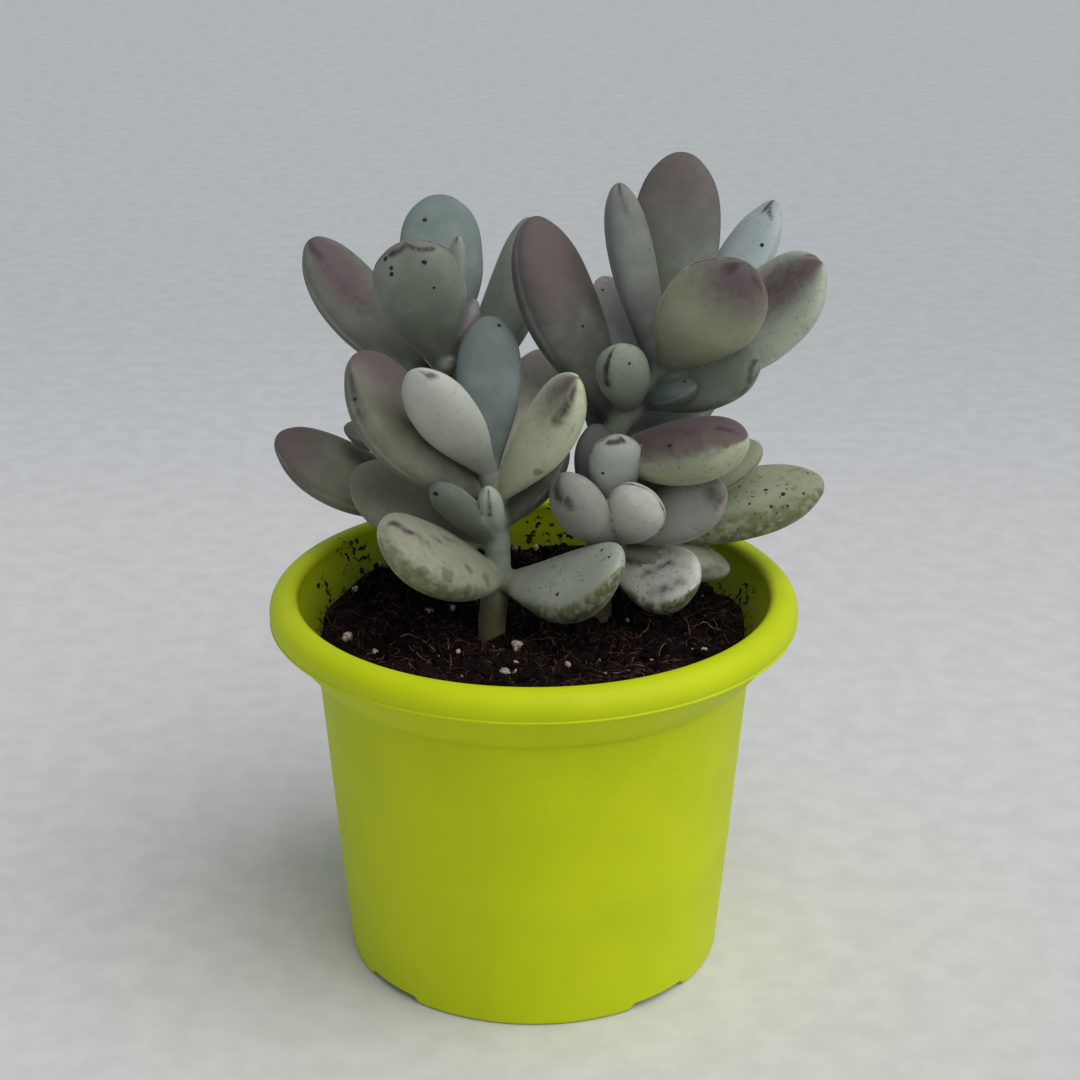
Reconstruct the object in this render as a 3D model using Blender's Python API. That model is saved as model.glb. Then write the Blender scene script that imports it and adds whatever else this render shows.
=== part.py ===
"""Potted cotyledon: three shoots of thick, waxy leaves in soil, in a round plastic pot.

The frame is in metres with +Z up. The origin is the middle of the pot's underside, and the
front of the plant faces -Y. The sizes below are in millimetres and degrees.
"""

from collections import namedtuple
from math import cos, hypot, pi, radians, sin, sqrt

import bmesh
import bpy
from mathutils import Vector

MM = 0.001
GAP = 0.3
MERGE_DISTANCE = 0.000002

# Pot
RIM_RADIUS = 65.0
POT_HEIGHT = 96.6
ROLL_RADIUS = 4.65
LIP_ANGLE = -26.0
EDGE_RADIUS = 2.1
INSIDE_RADIUS = 58.0
FOOT_RADIUS = 47.1
WALL_TAPER = 0.083
WALL = 1.5
BAND_HEIGHT = 78.4
BAND_STEP = 0.4
COLLAR = ((56.0, 79.9), (63.3, 88.8))
FLARE_HEIGHT = 82.5
CORNER_RADIUS = 1.2
FOOT_RING = 3.0
RECESS = 2.6
PAD_RADIUS = 19.0
FLOOR_CHAMFER = 2.0
POT_SIDES = 48
ROLL_STEPS = 7
FLARE_STEPS = 5
CORNER_STEPS = 3

# Drainage: notches in the foot ring and holes in the raised floor
NOTCH_COUNT = 4
NOTCH_TURN = -49.0
NOTCH_WIDTH = 17.0
NOTCH_HEIGHT = 2.0
NOTCH_OVERSHOOT = 2.2
DRAIN_RADIUS = 4.5
DRAIN_CIRCLE = 33.0
DRAIN_SIDES = 16

# Soil
SOIL_HEIGHT = 84.0
SOIL_DISH = 2.6
SOIL_RADIUS = 52.1
SOIL_RINGS = 9
SOIL_SIDES = 40
# Low lumps of the soil's surface: height, waves along x and y, phase
SOIL_WAVES = ((0.9, 0.13, 0.21, 0.4), (0.6, -0.29, 0.17, 1.9), (0.4, 0.37, -0.41, 3.1))

# Leaves: the widest point along the leaf, the root's size and how round the section is
BELLY = 0.61
ROOT_WIDTH = 5.0
ROOT_THICKNESS = 3.2
ROOT_SHARE = 0.9
ROOT_CURVE = 1.35
TIP_CURVE = 2.3
SECTION_CURVE = 0.9
UPPER_SHARE = 0.8
LOWER_SHARE = 1.2
LEAF_SIDES = 10
LEAF_RINGS = 9
STEM_SIDES = 12
STEM_STEPS = 3

# height is where the leaf leaves the stem, above the ground. turn is its compass direction from
# +X towards +Y, rise its slope above level, roll the twist of its blade, and sag how far its
# middle hangs below a straight line from root to tip, as a share of its length.
Leaf = namedtuple("Leaf", "height turn rise length width thickness roll sag")

# Each stem is a list of points (x, y, z, radius). The lowest two stand in the soil. The leaves
# grow in opposite pairs, each pair a quarter turn round from the last, from the lowest up. They
# are given where they ended up as they bent towards the light, and some have been lost.
FRONT_LEFT_STEM = (
    (-10.4, 0.0, 70.0, 3.3),
    (-10.4, 0.0, 86.0, 3.4),
    (-8.9, 0.0, 99.0, 3.3),
    (-9.2, 0.0, 111.0, 2.9),
    (-10.4, 0.5, 121.0, 2.6),
    (-11.2, 1.0, 129.0, 1.9),
)
FRONT_LEFT_LEAVES = (
    Leaf(99, -135, 29, 41, 24, 12, 30, 0.02),
    Leaf(98, -38, 19, 39, 22, 10, -35, 0.12),
    Leaf(108, 158, 19, 40, 21, 10, 30, 0.06),
    Leaf(112, 22, 48, 27, 12, 7, 0, 0.05),
    Leaf(114, 72, 37, 51, 20, 9, 0, 0.05),
    Leaf(108, -150, 47, 24.5, 9, 6, -50, 0.00),
    Leaf(110, -104, 64, 16, 6, 5, 0, 0.00),
    Leaf(118, -172, 49, 50, 25, 11, 35, 0.06),
    Leaf(119, -28, 56, 41, 17, 10, -55, 0.04),
    Leaf(126, -139, 54, 37, 16.5, 9, -35, 0.02),
    Leaf(126, 90, 55, 39, 16, 8, 0, 0.02),
)

BACK_LEFT_STEM = (
    (-20.0, 26.5, 70.0, 3.4),
    (-20.0, 26.5, 88.0, 3.5),
    (-21.2, 25.5, 105.0, 3.3),
    (-22.0, 25.0, 120.0, 3.0),
    (-22.6, 25.0, 138.0, 2.7),
    (-22.2, 25.0, 149.0, 2.0),
)
BACK_LEFT_LEAVES = (
    Leaf(105, 177, 25, 48, 22, 11, 20, 0.04),
    Leaf(106, 50, 4, 36, 17, 9, 0, 0.05),
    Leaf(112, 95, 25, 40, 18, 9, 0, 0.05),
    Leaf(127, 166, 0, 26, 14, 8, 0, 0.04),
    Leaf(128, 110, 42, 42, 19, 10, 0, 0.05),
    Leaf(134, 50, 51, 54, 16, 10, 0, 0.12),
    Leaf(139, 154, 42.5, 50, 19.5, 11, 20, 0.06),
    Leaf(145, -124, 67, 37.5, 22, 10, -40, 0.00),
    Leaf(145, 93, 52, 46, 21, 9, 0, 0.00),
    Leaf(147, 55, 77, 30, 6, 5, 0, 0.00),
    Leaf(144, 17, 64, 19, 7, 5, 0, 0.00),
)

BACK_RIGHT_STEM = (
    (16.0, 10.0, 70.0, 3.5),
    (16.0, 10.0, 88.0, 3.6),
    (16.6, 11.5, 105.0, 3.3),
    (18.0, 13.0, 126.0, 3.0),
    (21.0, 14.0, 134.0, 2.9),
    (28.0, 15.0, 141.0, 2.8),
    (33.0, 15.0, 149.0, 2.5),
    (36.0, 15.0, 155.0, 2.0),
)
BACK_RIGHT_LEAVES = (
    Leaf(107, -2, 13, 56, 23, 11, -20, 0.02),
    Leaf(104, 70, 18, 42, 19, 10, 0, 0.05),
    Leaf(113, -7, 23, 42, 15, 9, -35, 0.03),
    Leaf(112, 62, 42, 38, 17, 9, 0, 0.05),
    Leaf(125, 93, 50, 43, 14, 8, 0, 0.03),
    Leaf(125, 35, 25, 38, 17, 9, 0, 0.05),
    Leaf(126, -39, 17, 42, 20, 15, -10, 0.00),
    Leaf(134, 152, 63, 54, 21, 14, 20, 0.04),
    Leaf(140, -50, 22, 19, 8, 6, -30, 0.00),
    Leaf(137, -107, 55, 25, 13, 8, -25, 0.00),
    Leaf(139, -30, 26, 35, 15, 8, -55, 0.03),
    Leaf(143, -8, 39, 51, 24, 10, -45, 0.07),
    Leaf(144, 113, 31, 36, 14, 7, 0, 0.05),
    Leaf(144, -26, 17, 10, 8, 6, 0, 0.00),
    Leaf(146, 134, 71, 47, 11.5, 9, 20, 0.02),
    Leaf(147, 80, 57, 56, 22, 9, 0, 0.02),
    Leaf(148, 41, 44, 49, 16, 8, 0, 0.04),
    Leaf(148, -49, 50, 40, 24, 11, 50, 0.03),
)

# A side branch that springs from the right stem just above the soil.
FRONT_RIGHT_STEM = (
    (16.5, 9.5, 90.0, 2.6),
    (18.5, 5.5, 96.0, 2.8),
    (19.5, 3.5, 102.0, 2.7),
    (19.5, 2.5, 110.0, 2.5),
    (19.0, 2.0, 119.0, 1.9),
)
FRONT_RIGHT_LEAVES = (
    Leaf(100, -37, 3, 25, 18, 10, -45, 0.06),
    Leaf(105, 0, -11, 29, 13, 8, -10, -0.03),
    Leaf(107, -142, 53, 26, 15, 10, -30, 0.08),
    Leaf(109, -23, 28, 32, 16, 9, -55, 0.04),
    Leaf(108, 133, 76, 28, 13, 7, 20, 0.03),
    Leaf(108, -56, 47, 22, 14.5, 9, 59, 0.00),
    Leaf(117, -83, 71, 21, 13, 7, 0, 0.00),
)

# Colours, linear, and roughness
POT_FINISH = ((0.44, 0.62, 0.005), 0.42)
SOIL_FINISH = ((0.022, 0.014, 0.010), 0.95)
LEAF_FINISH = ((0.24, 0.29, 0.23), 0.60)


def clear_scene():
    """Remove every object, so that the scene holds only this model."""
    for item in list(bpy.data.objects):
        bpy.data.objects.remove(item, do_unlink=True)


def finish(name, look):
    """Make a plain material from a colour and a roughness."""
    colour, roughness = look
    material = bpy.data.materials.new(name)
    material.use_nodes = True
    shader = material.node_tree.nodes["Principled BSDF"]
    shader.inputs["Base Color"].default_value = (*colour, 1.0)
    shader.inputs["Roughness"].default_value = roughness
    shader.inputs["Metallic"].default_value = 0.0
    return material


def new_object(name, bm):
    """Turn a bmesh in millimetres into an object of the scene."""
    bmesh.ops.scale(bm, vec=Vector((MM, MM, MM)), verts=bm.verts)
    mesh = bpy.data.meshes.new(name)
    bm.to_mesh(mesh)
    bm.free()
    item = bpy.data.objects.new(name, mesh)
    bpy.context.scene.collection.objects.link(item)
    return item


def bake(item):
    """Replace an object's mesh with the result of its modifiers, then drop the modifiers."""
    graph = bpy.context.evaluated_depsgraph_get()
    mesh = bpy.data.meshes.new_from_object(item.evaluated_get(graph))
    item.modifiers.clear()
    item.data = mesh


def shade(item, material, angle=35.0):
    """Give an object its material and smooth shading with sharp edges kept."""
    item.data.materials.clear()
    item.data.materials.append(material)
    item.data.shade_smooth()
    item.data.set_sharp_from_angle(angle=radians(angle))


def cut(item, cutter, label):
    """Cut one object out of another and keep the cutter as a hidden guide."""
    cutter.hide_render = True
    cutter.display_type = "WIRE"
    boolean = item.modifiers.new(label, "BOOLEAN")
    boolean.operation = "DIFFERENCE"
    boolean.solver = "EXACT"
    boolean.object = cutter


def arc(centre, radius, start, end, steps):
    """Points of an arc round centre (radius, height), from one angle to another."""
    points = []
    for step in range(steps + 1):
        angle = radians(start + (end - start) * step / steps)
        points.append((centre[0] + radius * cos(angle), centre[1] + radius * sin(angle)))
    return points


def wall_radius(height):
    """Outer radius of the pot's wall below the band, at a height."""
    return FOOT_RADIUS + WALL_TAPER * height


def turned(name, outline, sides):
    """Spin a half section of (radius, height) points, with both ends on the axis, into a body."""
    bm = bmesh.new()
    corners = [bm.verts.new((radius, 0.0, height)) for radius, height in outline]
    edges = [bm.edges.new(pair) for pair in zip(corners, corners[1:])]
    bmesh.ops.spin(
        bm,
        geom=corners + edges,
        cent=(0.0, 0.0, 0.0),
        axis=(0.0, 0.0, 1.0),
        angle=2.0 * pi,
        steps=sides,
        use_merge=True,
    )
    bmesh.ops.remove_doubles(bm, verts=bm.verts, dist=0.0001)
    bmesh.ops.recalc_face_normals(bm, faces=bm.faces)
    return new_object(name, bm)


def flare():
    """Inner side of the rim, from its top down to the wall, steep at the top."""
    low = wall_radius(FLARE_HEIGHT) - WALL
    rise = POT_HEIGHT - EDGE_RADIUS - FLARE_HEIGHT
    points = []
    for step in range(FLARE_STEPS - 1, -1, -1):
        share = step / FLARE_STEPS
        radius = low + (INSIDE_RADIUS - low) * sin(0.5 * pi * share)
        points.append((radius, FLARE_HEIGHT + rise * share))
    return points


def pot_outline():
    """Half section of the pot, out along its underside, up, over the rim and back inside."""
    foot_inside = FOOT_RADIUS - FOOT_RING
    underside = [
        (0.0, 0.0),
        (PAD_RADIUS, 0.0),
        (PAD_RADIUS + RECESS, RECESS),
        (foot_inside - RECESS / 2.0, RECESS),
        (foot_inside, 0.0),
    ]
    corner_centre = (FOOT_RADIUS - CORNER_RADIUS, CORNER_RADIUS)
    corner = arc(corner_centre, CORNER_RADIUS, -90.0, 0.0, CORNER_STEPS)
    band_radius = wall_radius(BAND_HEIGHT)
    band = [(band_radius, BAND_HEIGHT), (band_radius + BAND_STEP, BAND_HEIGHT + BAND_STEP)]
    roll_centre = (RIM_RADIUS - ROLL_RADIUS, POT_HEIGHT - ROLL_RADIUS)
    roll = arc(roll_centre, ROLL_RADIUS, LIP_ANGLE, 90.0, ROLL_STEPS)
    edge_centre = (INSIDE_RADIUS + EDGE_RADIUS, POT_HEIGHT - EDGE_RADIUS)
    edge = arc(edge_centre, EDGE_RADIUS, 90.0, 180.0, CORNER_STEPS)
    floor = RECESS + WALL
    floor_radius = wall_radius(floor) - WALL
    inside = [
        (floor_radius, floor + FLOOR_CHAMFER),
        (floor_radius - FLOOR_CHAMFER, floor),
        (PAD_RADIUS + RECESS, floor),
        (PAD_RADIUS, WALL),
        (0.0, WALL),
    ]
    outside = underside + corner + band + list(COLLAR)
    return outside + roll + edge + flare() + inside


def notch_cutter(turn):
    """Block that cuts one drainage notch through the foot ring."""
    bm = bmesh.new()
    bmesh.ops.create_cube(bm, size=1.0)
    length = FOOT_RING + 2.0 * NOTCH_OVERSHOOT
    bmesh.ops.scale(bm, vec=(length, NOTCH_WIDTH, 2.0 * NOTCH_HEIGHT), verts=bm.verts)
    item = new_object("notch_cutter", bm)
    reach = FOOT_RADIUS - 0.5 * FOOT_RING
    item.location = (reach * cos(turn) * MM, reach * sin(turn) * MM, 0.0)
    item.rotation_euler = (0.0, 0.0, turn)
    return item


def drain_cutter(turn):
    """Cylinder that cuts one drainage hole through the raised floor."""
    bm = bmesh.new()
    bmesh.ops.create_cone(
        bm,
        cap_ends=True,
        segments=DRAIN_SIDES,
        radius1=DRAIN_RADIUS,
        radius2=DRAIN_RADIUS,
        depth=4.0 * (RECESS + WALL),
    )
    item = new_object("drain_cutter", bm)
    item.location = (DRAIN_CIRCLE * cos(turn) * MM, DRAIN_CIRCLE * sin(turn) * MM, 0.0)
    return item


def make_pot():
    """Round pot with a thick rim, a raised floor, drainage holes and notches in its foot."""
    pot = turned("pot", pot_outline(), POT_SIDES)
    for index in range(NOTCH_COUNT):
        turn = radians(NOTCH_TURN + index * 360.0 / NOTCH_COUNT)
        cut(pot, notch_cutter(turn), "notch")
        cut(pot, drain_cutter(turn), "drain")
    shade(pot, finish("lime_plastic", POT_FINISH))


def ground(x, y):
    """Height of the soil's surface: a shallow dish with low lumps."""
    height = SOIL_HEIGHT + SOIL_DISH * (hypot(x, y) / SOIL_RADIUS) ** 2
    for size, along_x, along_y, phase in SOIL_WAVES:
        height += size * sin(along_x * x + along_y * y + phase)
    return height


def soil_outline():
    """Half section of the soil, which fills the pot with a small gap all round."""
    floor = RECESS + WALL + GAP
    side = wall_radius(floor) - WALL - GAP
    outline = [
        (0.0, WALL + GAP),
        (PAD_RADIUS - GAP, WALL + GAP),
        (PAD_RADIUS + RECESS - GAP, floor),
        (side - FLOOR_CHAMFER, floor),
        (side, floor + FLOOR_CHAMFER),
    ]
    for ring in range(SOIL_RINGS, -1, -1):
        outline.append((SOIL_RADIUS * ring / SOIL_RINGS, SOIL_HEIGHT))
    return outline


def make_soil(stems):
    """Soil with a lumpy top and a plain hole for each stem."""
    soil = turned("soil", soil_outline(), SOIL_SIDES)
    for vertex in soil.data.vertices:
        if vertex.co.z > (SOIL_HEIGHT - 1.0) * MM:
            vertex.co.z = ground(vertex.co.x / MM, vertex.co.y / MM) * MM
    for path in stems:
        cut(soil, stem_body("socket_cutter", path, GAP), "socket")
    shade(soil, finish("potting_soil", SOIL_FINISH), 60.0)


def stem_body(name, path, extra=0.0):
    """Round stem along a smooth curve through its points, or a hole for it, wider by extra."""
    curve = bpy.data.curves.new(name, "CURVE")
    curve.dimensions = "3D"
    curve.bevel_depth = MM
    curve.bevel_resolution = (STEM_SIDES - 4) // 2
    curve.use_fill_caps = True
    curve.resolution_u = STEM_STEPS
    spline = curve.splines.new("BEZIER")
    spline.bezier_points.add(len(path) - 1)
    for point, (x, y, z, radius) in zip(spline.bezier_points, path):
        point.co = Vector((x, y, z)) * MM
        point.radius = radius + extra
        point.handle_left_type = "AUTO"
        point.handle_right_type = "AUTO"
    spline.bezier_points[0].co.z -= extra * MM
    item = bpy.data.objects.new(name, curve)
    bpy.context.scene.collection.objects.link(item)
    bpy.context.view_layer.update()
    graph = bpy.context.evaluated_depsgraph_get()
    mesh = bpy.data.meshes.new_from_object(item.evaluated_get(graph))
    bpy.data.objects.remove(item, do_unlink=True)
    bm = bmesh.new()
    bm.from_mesh(mesh)
    bmesh.ops.remove_doubles(bm, verts=bm.verts, dist=MERGE_DISTANCE)
    bmesh.ops.recalc_face_normals(bm, faces=bm.faces)
    bmesh.ops.scale(bm, vec=Vector((1.0, 1.0, 1.0)) / MM, verts=bm.verts)
    return new_object(name, bm)


def stem_point(path, height):
    """Middle of a stem at a height, in millimetres."""
    for low, high in zip(path, path[1:]):
        if height <= high[2]:
            share = (height - low[2]) / (high[2] - low[2])
            return Vector(low[:3]).lerp(Vector(high[:3]), share)
    return Vector(path[-1][:3])


def blade_share(along, root):
    """Size of the blade at a share of its length, as a share of its largest size."""
    if along < BELLY:
        return root + (1.0 - root) * sin(0.5 * pi * along / BELLY) ** ROOT_CURVE
    return sqrt(max(0.0, 1.0 - ((along - BELLY) / (1.0 - BELLY)) ** TIP_CURVE))


def leaf_axes(leaf):
    """Unit vectors of a leaf: along it, across its blade and out of its upper face."""
    turn = radians(leaf.turn)
    rise = radians(leaf.rise)
    roll = radians(leaf.roll)
    along = Vector((cos(rise) * cos(turn), cos(rise) * sin(turn), sin(rise)))
    level = Vector((-sin(turn), cos(turn), 0.0))
    above = along.cross(level)
    upper = above * cos(roll) + level * sin(roll)
    across = level * cos(roll) - above * sin(roll)
    return along, across, upper


def rounded(value):
    """Push a point of a circle's section a little towards a fuller, squarer one."""
    return abs(value) ** SECTION_CURVE * (1.0 if value > 0.0 else -1.0)


def leaf_point(leaf, root, axes, place):
    """Carry a point of the unit sphere, whose pole +Z is the leaf's tip, to the leaf's surface."""
    along, across, upper = axes
    share = 0.5 * (1.0 + max(-1.0, min(1.0, place.z)))
    ring = hypot(place.x, place.y)
    sag = 4.0 * leaf.sag * leaf.length * share * (1.0 - share)
    centre = root + along * leaf.length * share - upper * sag
    if ring < 0.001:
        return centre
    root_width = min(ROOT_SHARE, ROOT_WIDTH / leaf.width)
    root_thickness = min(ROOT_SHARE, ROOT_THICKNESS / leaf.thickness)
    half_width = 0.5 * leaf.width * blade_share(share, root_width)
    half_thickness = 0.5 * leaf.thickness * blade_share(share, root_thickness)
    half_thickness *= UPPER_SHARE if place.y > 0.0 else LOWER_SHARE
    side = across * half_width * rounded(place.x / ring)
    return centre + side + upper * half_thickness * rounded(place.y / ring)


def leaf_body(name, leaf, path):
    """One thick leaf with its root in the middle of its stem."""
    root = stem_point(path, leaf.height)
    axes = leaf_axes(leaf)
    bm = bmesh.new()
    bmesh.ops.create_uvsphere(bm, u_segments=LEAF_SIDES, v_segments=LEAF_RINGS, radius=1.0)
    for vertex in bm.verts:
        vertex.co = leaf_point(leaf, root, axes, vertex.co.copy())
    bmesh.ops.triangulate(bm, faces=bm.faces)
    bmesh.ops.recalc_face_normals(bm, faces=bm.faces)
    return new_object(name, bm)


def islands(bm):
    """Groups of faces that hang together."""
    left = set(bm.faces)
    groups = []
    while left:
        group = [left.pop()]
        for face in group:
            for edge in face.edges:
                for other in edge.link_faces:
                    if other in left:
                        left.remove(other)
                        group.append(other)
        groups.append(group)
    return groups


def signed_volume(group):
    """Six times the volume inside a group of triangles, negative for a sealed hollow."""
    total = 0.0
    for face in group:
        first, second, third = (corner.vert.co for corner in face.loops)
        total += first.dot(second.cross(third))
    return total


def keep_outer_skin(item):
    """Fill sealed hollows and drop loose scraps: only the largest closed skin stays."""
    bm = bmesh.new()
    bm.from_mesh(item.data)
    bmesh.ops.remove_doubles(bm, verts=bm.verts, dist=MERGE_DISTANCE)
    bmesh.ops.triangulate(bm, faces=bm.faces)
    groups = sorted(islands(bm), key=signed_volume)
    for group in groups[:-1]:
        bmesh.ops.delete(bm, geom=group, context="FACES")
    loose = [vertex for vertex in bm.verts if not vertex.link_faces]
    bmesh.ops.delete(bm, geom=loose, context="VERTS")
    bm.to_mesh(item.data)
    bm.free()


def fuse(item, parts):
    """Join parts to an object with one Boolean union, then remove them."""
    group = bpy.data.collections.new(item.name + "_parts")
    bpy.context.scene.collection.children.link(group)
    for part in parts:
        bpy.context.scene.collection.objects.unlink(part)
        group.objects.link(part)
    boolean = item.modifiers.new("union", "BOOLEAN")
    boolean.operation = "UNION"
    boolean.operand_type = "COLLECTION"
    boolean.collection = group
    boolean.solver = "EXACT"
    bake(item)
    for part in parts:
        bpy.data.objects.remove(part, do_unlink=True)
    bpy.data.collections.remove(group)
    keep_outer_skin(item)


def make_shoot(name, branches):
    """A stem, its side branches and all their leaves, grown together as one body."""
    shoot = stem_body(name, branches[0][0])
    parts = [stem_body(name + "_branch", path) for path, _ in branches[1:]]
    for path, leaves in branches:
        parts += [leaf_body(name + "_leaf", leaf, path) for leaf in leaves]
    fuse(shoot, parts)
    shade(shoot, finish(name + "_skin", LEAF_FINISH), 50.0)


def main():
    """Build the pot, the soil and the shoots."""
    clear_scene()
    front_left = ((FRONT_LEFT_STEM, FRONT_LEFT_LEAVES),)
    back_left = ((BACK_LEFT_STEM, BACK_LEFT_LEAVES),)
    right = ((BACK_RIGHT_STEM, BACK_RIGHT_LEAVES), (FRONT_RIGHT_STEM, FRONT_RIGHT_LEAVES))
    make_pot()
    make_soil((FRONT_LEFT_STEM, BACK_LEFT_STEM, BACK_RIGHT_STEM))
    make_shoot("shoot_front_left", front_left)
    make_shoot("shoot_back_left", back_left)
    make_shoot("shoot_right", right)


main()
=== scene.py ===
"""Looks of the potted cotyledon: waxy leaves on fleshy stems, potting soil and a lime plastic pot.

Sizes in this script are in millimetres and degrees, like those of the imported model's source, and
become metres when a mesh is finished. The front of the plant faces -Y.
"""
import logging
from collections.abc import Callable, Sequence
from dataclasses import dataclass, field
from enum import Enum
from math import acos, cos, exp, hypot, pi, radians, sin, sqrt
from random import Random
from typing import TypeAlias

import bmesh
import bpy
from bmesh.types import BMesh, BMLayerItem, BMVert
from bpy.types import Material, Mesh, NodeSocket, Object
from mathutils import Matrix, Vector, noise


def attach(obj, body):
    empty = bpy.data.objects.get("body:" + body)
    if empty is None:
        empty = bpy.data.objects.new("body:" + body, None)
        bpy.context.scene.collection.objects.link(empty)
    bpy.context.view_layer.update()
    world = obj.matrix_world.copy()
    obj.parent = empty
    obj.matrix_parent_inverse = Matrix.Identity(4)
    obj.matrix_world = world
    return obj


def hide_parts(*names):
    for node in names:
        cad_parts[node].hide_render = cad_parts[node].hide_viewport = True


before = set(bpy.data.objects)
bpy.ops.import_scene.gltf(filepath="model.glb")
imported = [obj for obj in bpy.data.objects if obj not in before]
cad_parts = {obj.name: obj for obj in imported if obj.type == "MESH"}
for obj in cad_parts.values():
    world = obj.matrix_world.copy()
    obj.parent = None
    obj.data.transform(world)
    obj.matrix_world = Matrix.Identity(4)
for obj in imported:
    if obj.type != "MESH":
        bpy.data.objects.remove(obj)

logging.basicConfig(level=logging.INFO, format="%(message)s")
LOG = logging.getLogger("scene")

MM = 0.001
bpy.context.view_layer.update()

UP = Vector((0.0, 0.0, 1.0))
TINY = 0.0001
NOISE_SEED = 11

Colour = tuple[float, float, float]
PathPoint = tuple[float, float, float, float]
Point = tuple[float, float]
Value: TypeAlias = "Signal | float"


def clamp(value: float, low: float = 0.0, high: float = 1.0) -> float:
    """Keep a value from low to high."""
    return max(low, min(high, value))


def smooth(low: float, high: float, value: float) -> float:
    """Rise smoothly from 0 at low to 1 at high."""
    share = clamp((value - low) / (high - low))
    return share * share * (3.0 - 2.0 * share)


def ball_share(point: Vector) -> float:
    """Share of the way from a ball's lower pole to its upper one, by angle."""
    return 1.0 - acos(clamp(point.z, -1.0)) / pi


class Signal:
    """A socket's value, with arithmetic that adds Math nodes to its material."""

    def __init__(self, paint: "Paint", socket: NodeSocket) -> None:
        """Wrap an output socket of a material's node tree."""
        self.paint = paint
        self.socket = socket

    def math(self, operation: str, first: Value, second: Value) -> "Signal":
        """Add a Math node.

        Args:
            operation: the node's operation.
            first: its first value or link.
            second: its second value or link.

        Returns:
            The node's result.
        """
        return self.paint.node("ShaderNodeMath", {"operation": operation}, {0: first, 1: second})

    def __add__(self, other: Value) -> "Signal":
        """Add a value."""
        return self.math("ADD", self, other)

    __radd__ = __add__

    def __sub__(self, other: Value) -> "Signal":
        """Take a value away."""
        return self.math("SUBTRACT", self, other)

    def __rsub__(self, other: float) -> "Signal":
        """Take this signal away from a number."""
        return self.math("SUBTRACT", other, self)

    def __mul__(self, other: Value) -> "Signal":
        """Multiply by a value."""
        return self.math("MULTIPLY", self, other)

    __rmul__ = __mul__

    def __abs__(self) -> "Signal":
        """Drop the sign."""
        return self.math("ABSOLUTE", self, 0.0)

    def __or__(self, other: "Signal") -> "Signal":
        """Take the larger of two masks."""
        return self.math("MAXIMUM", self, other)

    def rise(self, low: float, high: float) -> "Signal":
        """Map the signal smoothly to 0 at low and 1 at high."""
        settings = {"interpolation_type": "SMOOTHSTEP"}
        inputs = {"Value": self, "From Min": low, "From Max": high}
        return self.paint.node("ShaderNodeMapRange", settings, inputs)


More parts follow.
